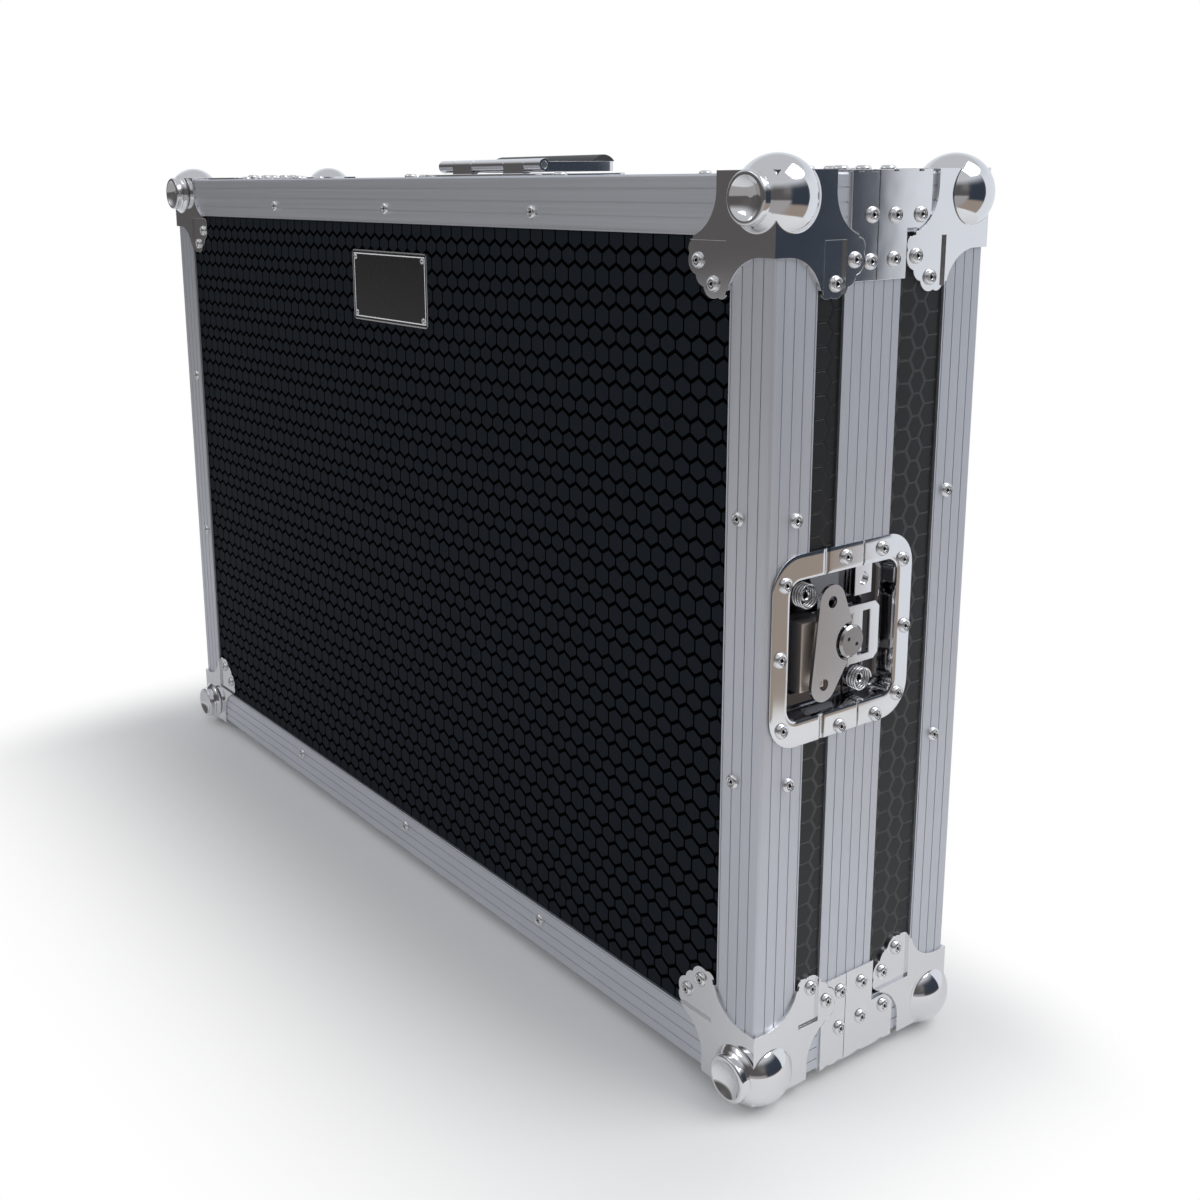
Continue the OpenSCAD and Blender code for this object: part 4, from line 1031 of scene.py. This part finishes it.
@dataclass
class Latch:
    """Recessed butterfly latch of one end: two pressed dishes, springs, hook, knob and wing.

    Attributes:
        side: 1 at the right end, -1 at the left.
        height: height of the dish's middle; axis gives the depth and height of the knob.
        edge, far: depths of the dish's outer edges; tall is its height.
        wall: thickness of the sheet as drawn, a little under sheet.
        pan: depth of the floor under the end face.
        solid_mouth: far limit and half height of the solid dish's mouth; tab_low its lowest kept fitting.
        crease: place of the crease across the lid's flanges.
        lid_post, keeper_post: depth and rise of the springs' posts.
    """

    side: int
    finishes: Finishes
    height: float = 252.5
    edge: float = 3.6
    far: float = 109.0
    tall: float = 104.0
    corner: float = 19.0
    near_flange: float = 12.6
    far_flange: float = 11.7
    side_flange: float = 13.9
    mouth_corner: float = 8.0
    sheet: float = 1.2
    wall: float = 1.14
    pan: float = 11.0
    axis: Pair = (61.5, 251.0)
    boss: float = 6.5
    boss_top: float = -6.25
    solid_mouth: Pair = (98.9, 39.9)
    tab_low: float = -20.0
    seam_ease: float = 0.4
    crease: float = 42.3
    lid_post: Pair = (34.2, 26.6)
    keeper_post: Pair = (77.84, -27.8)
    post: float = 3.3
    post_top: float = -5.2
    coil_radius: float = 6.1
    wire: float = 0.6

    @property
    def name(self) -> str:
        """Which side the latch is on."""
        return "right" if self.side > 0 else "left"

    @property
    def root(self) -> float:
        """Height at which the studs start, just under the floor."""
        return -self.pan - 0.3

    def on_end(self, surface: Surface) -> Surface:
        """A surface drawn with depth, rise and height over the end face, put on the end face."""
        matrix = np.array([[0, 0, float(self.side)], [1, 0, 0], [0, 1, 0]])
        return surface.mapped(matrix, np.array([self.side * CASE.width / 2, 0.0, self.height]))

    def outline(self, front: bool, flange: float, radius: float, n: int = 90) -> np.ndarray:
        """Half of a round-cornered outline, from the seam's top round to the seam's bottom.

        Args:
            front: whether it is the lid's half.
            flange: share of the way from the mouth (0) to the outer edge (1); below 0, mm inside the mouth.
            radius: corner radius.
            n: points on each straight run.

        Returns:
            Array (m, 2) of depth and rise.
        """
        inside, share = min(flange, 0.0), max(flange, 0.0)
        seam = CASE.lid_depth - self.seam_ease if front else CASE.base_start + self.seam_ease
        mouth_end = self.edge + self.near_flange if front else self.far - self.far_flange
        outer_end = self.edge if front else self.far
        toward = -1.0 if front else 1.0
        end = mouth_end + share * (outer_end - mouth_end) + toward * inside
        rise = self.tall / 2 - self.side_flange + share * self.side_flange + inside
        bend_start = end - toward * radius
        straight = np.stack([np.linspace(seam, bend_start, n), np.full(n, rise)], 1)
        a = np.linspace(math.pi / 2, 0, 13)[1:-1]
        bend = np.stack([bend_start + toward * radius * np.cos(a), rise - radius + radius * np.sin(a)], 1)
        side = np.stack([np.full(n, end), np.linspace(rise - radius, -rise + radius, n)], 1)
        half = np.vstack([straight, bend])
        return np.vstack([half, side, half[::-1] * np.array([1, -1])])

    def dish(self, front: bool) -> Surface:
        """A pressed half dish: outlines of falling height from the outer edge over the lip to the floor.

        The table gives each outline's flange, corner radius and height over the end face.

        Args:
            front: whether it is the lid's half.

        Returns:
            The dish's visible skin, open at the seam, before it gets its thickness, with painted shade that
            deepens to its floor and lies beside the crease.
        """
        rc, rm, t = self.corner, self.mouth_corner, self.sheet
        rows = [(1.0, rc, t * 0.55), (0.985, rc - 0.1, t * 0.88), (0.955, rc - 0.35, t),
                (0.8, rc - 2.0, t), (0.6, rc - 4.4, t), (0.4, rc - 6.6, t), (0.2, rm + 2.2, t),
                (0.1, rm + 1.1, t), (0.05, rm + 0.5, t * 0.93), (0.0, rm, t * 0.6), (-0.3, rm - 0.3, -0.4),
                (-0.6, rm - 0.5, -2.0), (-0.9, rm - 0.6, -7.6), (-1.3, rm - 0.8, -9.4),
                (-2.2, rm - 1.4, -10.6), (-3.6, rm - 2.4, -self.pan)]
        lines = [np.pad(self.outline(front, share, radius), ((0, 0), (0, 1)), constant_values=height)
                 for share, radius, height in rows]
        count = len(lines[0])
        points = np.concatenate(lines)
        # painted shade: the plated colour darkens with depth, fully dark on the floor
        mark = np.clip(-points[:, 2] / self.pan, 0.0, 1.0)
        if front:
            half, line, deep, dark, above = 1.3, 0.55, 0.65, 0.9, 0.4
            from_crease = np.abs(points[:, 0] - self.crease)
            on_flange = (points[:, 2] > above) & (np.abs(points[:, 1]) > self.tall / 2 - self.side_flange)
            points[:, 2] -= deep * np.exp(-((from_crease / half) ** 2)) * on_flange
            # painted shade: a dark line painted just beside the crease
            mark += dark * np.exp(-(((from_crease - half) / line) ** 2)) * on_flange
        floor = ((len(rows) - 1) * count + np.arange(count))[None]
        skin = Surface(points, [grid_faces(len(rows), count)[:, ::-1], floor], mark)
        return skin if self.looks_out(skin) else skin.turned()

    @staticmethod
    def looks_out(surface: Surface) -> bool:
        """Whether a skin's last face looks away from the case.

        Args:
            surface: the skin on the end face.

        Returns:
            True if its floor's corners run anticlockwise.
        """
        loop = surface.points[surface.faces[-1][0]]
        ahead = np.roll(loop, -1, 0)
        return float(np.sum(loop[:, 0] * ahead[:, 1] - ahead[:, 0] * loop[:, 1])) > 0

    def stud(self) -> Surface:
        """The round boss under the knob, with an eased top edge.

        Returns:
            The boss over the end face.
        """
        r, top, ease = self.boss, self.boss_top, 0.5
        profile = np.array([[0, top], [r - 2 * ease, top], [r - ease, top - ease * 0.27],
                            [r - ease * 0.27, top - ease], [r, top - 2 * ease], [r, self.root]])
        return turned_profile(profile, sides=36).moved((self.axis[0], self.axis[1] - self.height, 0))

    def eyelet(self, place: Pair) -> Surface:
        """A spring's hollow post: its rim rolls over into a hollow, which is painted dark as shade.

        Args:
            place: depth and rise of its middle.

        Returns:
            The post over the end face.
        """
        r, top = self.post, self.post_top
        profile = np.array([[0, top - 4], [r * 0.5, top - 4], [r * 0.55, top - 0.5], [r * 0.7, top],
                            [r * 0.86, top - 0.15], [r, top - 0.8], [r, self.root]])
        # painted shade inside the hollow and at the post's foot
        mark = np.array([1.0, 1.0, 0.4, 0, 0, 0, 1.0])
        return turned_profile(profile, sides=36, mark=mark).moved((*place, 0))

    def raised_stop(self) -> Surface:
        """A raised plate on the dish's floor: a rectangle drawn in by an inset at each height.

        Returns:
            The plate over the end face, with painted shade towards its foot.
        """
        low, high = np.array([30.5, -25.84]), np.array([48.5, 12.16])
        rows = np.array([(0.0, self.root), (0.1, -4.7), (0.3, -4.2), (0.8, -4.0), (1.3, -4.0)])
        inset = rows[:, 0, None]
        (x0, y0), (x1, y1) = (low + inset).T, (high - inset).T
        corners = (x0, x1, x1, x0), (y0, y0, y1, y1), (rows[:, 1],) * 4
        rings = np.stack([np.stack(axis, 1) for axis in corners], -1)
        top = 4 * (len(rows) - 1) + np.arange(4)[None]
        # painted shade: full at the foot, half on the first step, none on the top
        mark = np.repeat([1.0, 0.5, 0.0, 0.0, 0.0], 4)
        return Surface(rings.reshape(-1, 3), [grid_faces(len(rows), 4, wrap=True)[:, ::-1], top], mark)

    def coil(self, place: Pair, toward: float) -> Surface:
        """A wound spring: (r cos a, r sin a, rise per turn x a), with a straight leg at its foot.

        Args:
            place: depth and rise of its middle.
            toward: -1 for a leg that points down, 1 for one that points up.

        Returns:
            The spring as one tube.
        """
        turns, foot, rise = 4, -9.8, 1.75
        a = np.linspace(0, turns * TURN, 200)
        r = self.coil_radius
        path = np.stack([r * np.cos(a), -toward * r * np.sin(a), foot + rise * a / TURN], 1)
        lead = path[0] + np.linspace(8.0, 0.6, 8)[:, None] * np.array([[0.0, toward, 0.0]])
        return swept_tube(np.vstack([lead, path]), self.wire).moved((*place, 0))

    def keeper_fittings(self, frame: dict) -> np.ndarray:
        """The solid keeper's triangles that stand on its floor above the spring, without the dish itself.


        Returns:
            Array (n, 3, 3) in mm.
        """
        tri = solid_triangles(frame["nodes"]["keeper_dish_" + self.name])
        height = self.side * tri[..., 0] - CASE.width / 2
        rise = tri[..., 2] - self.axis[1]
        floor, lip, play = -self.pan, -0.5, 0.05
        inner = (height.max(1) < lip) & (height.min(1) > floor - play) & (height.max(1) > floor + play)
        in_mouth = (rise.max(1) < self.solid_mouth[1]) & (tri[..., 1].max(1) < self.solid_mouth[0])
        return tri[inner & in_mouth & (rise.min(1) > self.tab_low)]

    def build(self, frame: dict) -> None:
        """Makes the dishes, fittings and springs, and dresses the moving pieces.
        """
        f, s = self.finishes, self.name
        for front, node, body in ((True, "latch_dish_", "lid"), (False, "keeper_dish_", "base")):
            piece = to_object(self.on_end(self.dish(front)), f"{node}{s}_skin")
            wall = piece.modifiers.new("wall", "SOLIDIFY")
            wall.thickness = self.wall * MM
            wall.offset = -1.0
            settle(piece, body, f.chrome, (node + s,))
        studs = joined([self.stud(), self.eyelet(self.lid_post)])
        for surface, name, body, slot, finish, stands_for in (
                (studs, "latch_fittings_" + s, "lid", "chrome", f.chrome, ()),
                (self.raised_stop(), "latch_stop_" + s, "lid", "steel", f.stop, ()),
                (self.eyelet(self.keeper_post), "keeper_post_" + s, "base", "chrome", f.chrome, ()),
                (self.coil(self.lid_post, -1.0), f"latch_spring_{s}_wound", "lid", "steel", f.steel,
                 ("latch_springs_" + s,)),
                (self.coil(self.keeper_post, 1.0), f"keeper_spring_{s}_wound", "base", "steel", f.steel, ())):
            settle(to_object(self.on_end(surface), name, MERGE), body, finish, stands_for)
        keeper = eased_copy(self.keeper_fittings(frame), "keeper_fittings_" + s, 0.35)
        settle(keeper, "base", f.chrome)
        for node, body, slot, width, finish in (("latch_wing_", "latch_wing_", "chrome", 0.5, f.wing),
                                                ("latch_hook_", "latch_hook_", "chrome", 0.3, f.chrome),
                                                ("latch_knob_", "latch_rotor_", "steel", 0.35, f.knob)):
            eased_node(frame, node + s, body + s, width, finish)
        dress(frame, "latch_cam_" + s, f.steel)
        dress(frame, "latch_pin_" + s, f.steel)


@dataclass
class FoamBlock:
    """A block of foam with a worked face: heights on a grid over its face, with sides and a flat back.

    Attributes:
        name, body, node, finish: the piece, its body, the CAD node that it replaces and its material.
        half_width: half of its width.
        back: depth of its back from the lid's front.
        low, high: heights of its lower and upper side.
    """

    name: str
    body: str
    node: str
    finish: Material
    half_width: float
    back: float
    low: float = 10.1
    high: float = CASE.height - 10.1

    def block(self, x: np.ndarray, z: np.ndarray, face: np.ndarray) -> Surface:
        """A closed block from the depths of its face on a grid of widths and heights.

        Args:
            x: array (n,) of widths.
            z: array (m,) of heights.
            face: array (n, m) of the face's depth from the lid's front.

        Returns:
            The block: the face, the sides with eased edges, and the back.
        """
        shoulder_drop, ease = 1.2, 0.8
        n, m = len(x), len(z)
        gx, gz = np.meshgrid(x, z, indexing="ij")
        front = np.stack([gx, face, gz], -1).reshape(-1, 3)
        grid = np.arange(n * m).reshape(n, m)
        ring = np.concatenate([grid[:-1, 0], grid[-1, :-1], grid[:0:-1, -1], grid[0, :0:-1]])
        toward = np.sign(self.back - face.mean())
        shoulder, foot, last = front[ring], front[ring], front[ring]
        shoulder[:, 1] += toward * shoulder_drop
        foot[:, 1] = self.back - toward * ease
        last[:, 0] *= 1 - ease / self.half_width
        last[:, 2] += np.sign((self.low + self.high) / 2 - last[:, 2]) * ease
        last[:, 1] = self.back
        loops = [ring, *(n * m + i * len(ring) + np.arange(len(ring)) for i in range(3))]
        quads = [np.stack([a, b, np.roll(b, -1), np.roll(a, -1)], 1) for a, b in zip(loops[:-1], loops[1:])]
        skin = Surface(np.concatenate([front, shoulder, foot, last]),
                       [grid_faces(n, m), np.concatenate(quads)[:, ::-1], loops[-1][None, ::-1]])
        return skin if toward < 0 else skin.turned()

    def finish_piece(self, surface: Surface) -> None:
        """Args:
            surface: the block.
        """
        piece = to_object(surface, self.name)
        with edited(piece.data) as bm:
            bmesh.ops.recalc_face_normals(bm, faces=bm.faces)
        shade(piece.data, sharp=50)
        settle(piece, self.body, self.finish, (self.node,))

    def pick(self, front: float, columns: int, rows: int, cut: float) -> None:
        """Pick foam: depth of the face is full in the cuts between cubes, with soft edges on each cube.

        Args:
            front: depth of the cubes' tops from the lid's front.
            columns: cubes along the width.
            rows: cubes up the height.
            cut: depth of the cuts.
        """
        x, hx = self.scored(-self.half_width, self.half_width, columns)
        z, hz = self.scored(self.low, self.high, rows)
        height = np.minimum(hx[:, None], hz[None])
        sway, per_mm, clear = 0.25, 0.05, 0.3
        jitter = sway * np.sin(3.1 * x[:, None] * per_mm + 1.3) * np.cos(2.3 * z[None] * per_mm)
        face = front + clear + (1 - height) * cut + jitter * height
        self.finish_piece(self.block(x, z, face))

    @staticmethod
    def scored(low: float, high: float, count: int) -> tuple[np.ndarray, np.ndarray]:
        """Places and heights (0 in a cut, 1 on a cube) along one side of scored foam.

        Args:
            low: start of the side.
            high: end of the side.
            count: number of cubes.

        Returns:
            Arrays of places and of heights.
        """
        start = np.linspace(low, high, count + 1)[:-1, None]
        pitch = (high - low) / count
        offsets = np.array([0.0, 0.3, 0.45, 0.9, 2.2, pitch - 2.2, pitch - 0.9, pitch - 0.45, pitch - 0.3])
        height = np.tile([0.0, 0.0, 0.88, 0.96, 1.0, 1.0, 0.96, 0.88, 0.0], count)
        height[:2] = 0.9
        return np.append((start + offsets).ravel(), high), np.append(height, 0.9)

    def convoluted(self, floor: float, waves: tuple[int, int], height: float) -> None:
        """Convoluted foam: floor + height (2 + cos + cos) / 4 over the face.

        Args:
            floor: least thickness.
            waves: waves along the width and up the height.
            height: height of the waves.
        """
        per_wave = 14
        x = np.linspace(-self.half_width, self.half_width, waves[0] * per_wave + 1)
        z = np.linspace(self.low, self.high, waves[1] * per_wave + 1)
        u = (x + self.half_width) / (2 * self.half_width) * waves[0]
        v = (z - self.low) / (self.high - self.low) * waves[1]
        swell = (2 + np.cos(TURN * u)[:, None] + np.cos(TURN * v)[None]) / 4
        self.finish_piece(self.block(x, z, self.back + floor + height * swell))

    def plain(self, front: float, columns: int = 40, rows: int = 30, sag: float = 0.4) -> None:
        """A plain pad, slightly hollow between its edges: the face sinks by a product of two arches.

        Args:
            front: depth of the face at its rim.
            columns: points along the width.
            rows: points up the height.
            sag: how far the middle sinks.
        """
        x = np.linspace(-self.half_width, self.half_width, columns)
        z = np.linspace(self.low, self.high, rows)
        across, up = (np.sin(np.linspace(0, math.pi, n)) for n in (columns, rows))
        self.finish_piece(self.block(x, z, front + sag * across[:, None] * up[None]))


@dataclass
class CaseBody:
    """Panels, edge angles, closure frames, braces and plate: the CAD solids with their finishes."""

    finishes: Finishes

    def build(self, frame: dict) -> None:
        """Dresses the solids that keep their own shape, and eases the braces' edges.
        """
        f = self.finishes
        for half, panel in (("lid", "front"), ("base", "back")):
            dress(frame, f"{half}_{panel}_panel", f.front)
            for side in ("left", "right", "top", "bottom"):
                at_end = side in ("left", "right")
                dress(frame, f"{half}_{side}_wall", f.ends if at_end else f.tops)
                dress(frame, f"{half}_edge_{side}", f.angle_z if at_end else f.angle_x)
            dress(frame, half + "_short_edges", f.angle_y)
            eased_node(frame, half + "_braces", half, 0.35, f.chrome)
        dress(frame, "lid_groove_frame", f.frame)
        dress(frame, "base_tongue_frame", f.frame)
        dress(frame, "name_plate", f.plate)


@dataclass
class Handle:
    """Folding carrying handle: plate, rod, sleeve, bail and moulded grip."""

    finishes: Finishes

    def build(self, frame: dict) -> None:
        """Eases the edges of the pressed and cast pieces and dresses the rod.
        """
        f = self.finishes
        for node, body, slot, width, finish in (("plate", "base", "chrome", 0.4, f.chrome),
                                                ("sleeve", "base", "chrome", 0.5, f.chrome),
                                                ("bail", "handle", "chrome", 0.7, f.chrome),
                                                ("grip", "handle", "grip", 0.8, f.grip)):
            eased_node(frame, "handle_" + node, body, width, finish, 3)
        dress(frame, "handle_axle", f.steel)


@dataclass
class Studio:
    """Floor, soft lights, a room for the metal to mirror, and the camera of the photograph.

    Attributes:
        eye: the camera's place; right, down and ahead are its axes.
        lens: focal length for a sensor of 36 mm; shift is the frame's shift.
        floor_half: half of the floor's side in metres; floor_colour is its tone.
        fade: distance from the case at which the camera sees plain white.
        sooner: how many times sooner that is past the ends, behind and in front.
        soft: colour and strength of the light from all sides.
        near_white: tone of the mirrored floor close to the case.
        plane: a point and the direction, in x and y, of the upright plane that parts the mirrored room.
        brown, slate, warm, warm_low, pale, pale_high, bright_right, bright_front: the room's tones.
    """

    eye: Triple = (0.8477, -0.5625, 0.5006)
    right: Triple = (0.5837, 0.8119, -0.0107)
    down: Triple = (0.1731, -0.1374, -0.9753)
    ahead: Triple = (-0.7933, 0.5675, -0.2208)
    lens: float = 42.31
    shift: Pair = (0.0542, -0.0863)
    floor_half: float = 8.0
    floor_colour: Colour = (0.7, 0.7, 0.7, 1)
    fade: float = 0.3
    sooner: Triple = (2.2, 3.0, 1.0)
    soft: tuple[Colour, float] = ((0.94, 0.96, 1.0, 1), 0.62)
    plane: tuple[float, float, float, float] = (0.366, -0.018, 0.748, 0.664)
    near_white: Colour = (0.85, 0.85, 0.85, 1)
    brown: Colour = (0.34, 0.285, 0.24, 1)
    slate: Colour = (0.04, 0.05, 0.068, 1)
    bright_right: Colour = (0.6, 0.62, 0.66, 1)
    warm_low: Colour = (0.38, 0.37, 0.37, 1)
    warm: Colour = (0.105, 0.1, 0.098, 1)
    bright_front: Colour = (0.6, 0.61, 0.64, 1)
    pale: Colour = (0.8, 0.83, 0.88, 1)
    pale_high: Colour = (0.7, 0.73, 0.78, 1)

    def build(self) -> None:
        """Makes the camera, the floor, the world, the surroundings and the lights."""
        self.camera()
        self.floor()
        self.world()
        self.surroundings()
        self.lamp("key", (1.9, 1.3, 2.6), (0.1, 0.0, 0.2), 2.4, 62.0)
        self.lamp("front_fill", (-1.2, -2.6, 1.7), (0.0, 0.0, 0.25), 2.2, 24.0)
        self.lamp("end_fill", (2.8, -0.7, 1.3), (0.3, 0.0, 0.25), 1.0, 12.0)

    @staticmethod
    def stand(name: str, data: bpy.types.ID, matrix: Matrix | None = None) -> Piece:
        """An object of the studio in the scene.

        Args:
            name: its name.
            data: its mesh, light or camera.
            matrix: its place and turn, if not the origin.

        Returns:
            The object.
        """
        thing = bpy.data.objects.new(name, data)
        bpy.context.scene.collection.objects.link(thing)
        if matrix is not None:
            thing.matrix_world = matrix
        return thing

    def camera(self) -> None:
        """Places the camera as fitted to the photograph's straight edges."""
        data = bpy.data.cameras.new("camera")
        data.sensor_width = 36.0
        data.sensor_fit = "HORIZONTAL"
        data.lens = self.lens
        data.shift_x, data.shift_y = self.shift
        data.clip_start = 0.01
        axes = np.array([self.right, [-v for v in self.down], [-v for v in self.ahead]]).T
        matrix = Matrix(axes.tolist()).to_4x4()
        matrix.translation = Vector(self.eye)
        bpy.context.scene.camera = self.stand("camera", data, matrix)

    def floor(self) -> None:
        """A wide pale floor that keeps the shadow near the case and fades to plain white for the camera."""
        row = np.linspace(-self.floor_half, self.floor_half, 3)
        places = np.stack([*np.meshgrid(row, row, indexing="ij"), np.zeros((3, 3))], -1).reshape(-1, 3)
        g = Graph("pale_floor")
        g.surface(Base_Color=self.floor_colour, Roughness=0.9, Specular_IOR_Level=0.0)
        x, y, _ = g.parts(g.place)
        past_end, behind, before = (
            g.math("MULTIPLY", g.math("MAXIMUM", g.math("SUBTRACT", distance, half * MM), 0.0), share)
            for distance, half, share in zip((g.math("ABSOLUTE", x), y, g.math("MULTIPLY", y, -1.0)),
                                             (CASE.width / 2, CASE.depth / 2, CASE.depth / 2), self.sooner))
        away = g.vector("LENGTH", g.combine(past_end, g.math("ADD", behind, before)))
        share = g.math("MULTIPLY", g.step(away, 0.0, self.fade), g.node("LightPath").outputs["Is Camera Ray"])
        mix = g.node("MixShader", share, g.shader.outputs[0], g.node("Emission").outputs[0])
        g.put(g.output.inputs["Surface"], mix.outputs[0])
        self.prop("floor", places, grid_faces(3, 3), g.material)

    def surroundings(self) -> None:
        """A round room that only reflections see: pale behind, slate and brown at the right, warm in front.

        The colour is picked by height, by the distance from a plane through the case's end, and by depth.
        """
        g = Graph("surroundings")
        x, y, z = g.parts(g.place)
        foot, top, outer, turn, before, close = (
            (0.12, 0.3), (1.2, 2.3), (1.6, 2.3), (-0.045, 0.015), (-0.5, -0.1), (0.84, 0.89))
        px, py, across, along = self.plane
        side = g.math("SUBTRACT", g.math("MULTIPLY", g.math("SUBTRACT", x, px), across),
                      g.math("MULTIPLY", g.math("SUBTRACT", y, py), along))
        low, high = g.step(z, *foot), g.step(z, *top)
        away = g.vector("LENGTH", g.combine(x, y))
        far = g.math("MAXIMUM", low, g.step(away, *outer))
        right = g.blend(high, g.blend(far, self.brown, self.slate), self.bright_right)
        front = g.blend(high, g.blend(low, self.warm_low, self.warm), self.bright_front)
        back = g.blend(high, self.pale, self.pale_high)
        room = g.blend(g.step(g.math("MULTIPLY_ADD", low, -turn[0], side), *turn), back, right)
        room = g.blend(g.step(y, *before), front, room)
        tone = g.blend(g.step(away, *close), self.near_white, room)
        g.surface(Base_Color=(0, 0, 0, 1), Roughness=1.0, Specular_IOR_Level=0.0, Emission_Strength=1.0,
                  Emission_Color=tone)
        wall, over = 2.6, 0.003
        rows = [(wall, z) for z in (wall, 1.1, 0.3, over)] + [(r, over) for r in (1.6, 1.0, close[0])]
        ring = turned_profile(np.array(rows), sides=72)
        room = self.prop("surroundings", ring.points, ring.faces[0], g.material)
        room.visible_camera = room.visible_diffuse = room.visible_shadow = False

    def prop(self, name: str, points: np.ndarray, faces: np.ndarray, material: Material) -> Piece:
        """A piece of the studio.

        Args:
            name: its name.
            points: array (n, 3) in metres.
            faces: array (m, 4).
            material: its material.

        Returns:
            The object, declared as staging.
        """
        mesh = bpy.data.meshes.new(name)
        mesh.from_pydata(points.tolist(), [], faces.tolist())
        mesh.materials.append(material)
        piece = self.stand(name, mesh)
        piece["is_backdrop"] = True
        return piece

    def world(self) -> None:
        """White to the camera and through clear things, a soft even light to everything else."""
        world = bpy.data.worlds.new("studio")
        bpy.context.scene.world = world
        world.use_nodes = True
        tree = Tree(world.node_tree)
        path = tree.node("LightPath").outputs
        seen = tree.math("MAXIMUM", path["Is Camera Ray"], path["Is Transmission Ray"])
        shades = [tree.node("Background", *values).outputs[0] for values in (self.soft, (WHITE, 1.0))]
        tree.node("OutputWorld", tree.node("MixShader", seen, *shades).outputs[0])

    def lamp(self, name: str, place: Triple, target: Triple, size: float, power: float) -> None:
        """A square soft light.

        Args:
            name: its name.
            place: where it stands.
            target: what it looks at.
            size: its side in metres.
            power: its power in watts.
        """
        data = bpy.data.lights.new(name, "AREA")
        data.size = size
        data.energy = power
        turn = (Vector(target) - Vector(place)).to_track_quat("-Z", "Y")
        self.stand(name, data, Matrix.Translation(place) @ turn.to_matrix().to_4x4())


def main(frame: dict, cad_box: tuple) -> None:
    """Builds the studio and the case.

    Args:
        cad_box: the CAD model's box; not used.
    """
    logging.basicConfig(level=logging.INFO, format="%(name)s: %(message)s")
    bpy.context.scene.view_settings.view_transform = "Standard"
    Studio().build()
    finishes = Finishes()
    CaseBody(finishes).build(frame)
    for right, rear, top in product((False, True), repeat=3):
        BallCorner(Corner(right, rear, top), finishes.chrome).build(frame)
    Rivets(finishes.rivet).build(frame)
    for side in (-1, 1):
        Latch(side, finishes).build(frame)
    foam = finishes.foam
    cubes = FoamBlock("pick_foam_cubes", "base", "pick_foam", foam, half_width=353.8, back=132.9)
    cubes.pick(front=76.4, columns=36, rows=24, cut=9.0)
    FoamBlock("back_pad", "base", "base_pad", foam, half_width=356.2, back=145.0).plain(front=133.2)
    pad = FoamBlock("convoluted_pad", "lid", "lid_convoluted_foam", foam, half_width=350.3, back=9.95)
    pad.convoluted(floor=10.0, waves=(9, 6), height=20.0)
    Handle(finishes).build(frame)


if __name__ == "__main__":
    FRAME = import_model()
    main(FRAME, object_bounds())
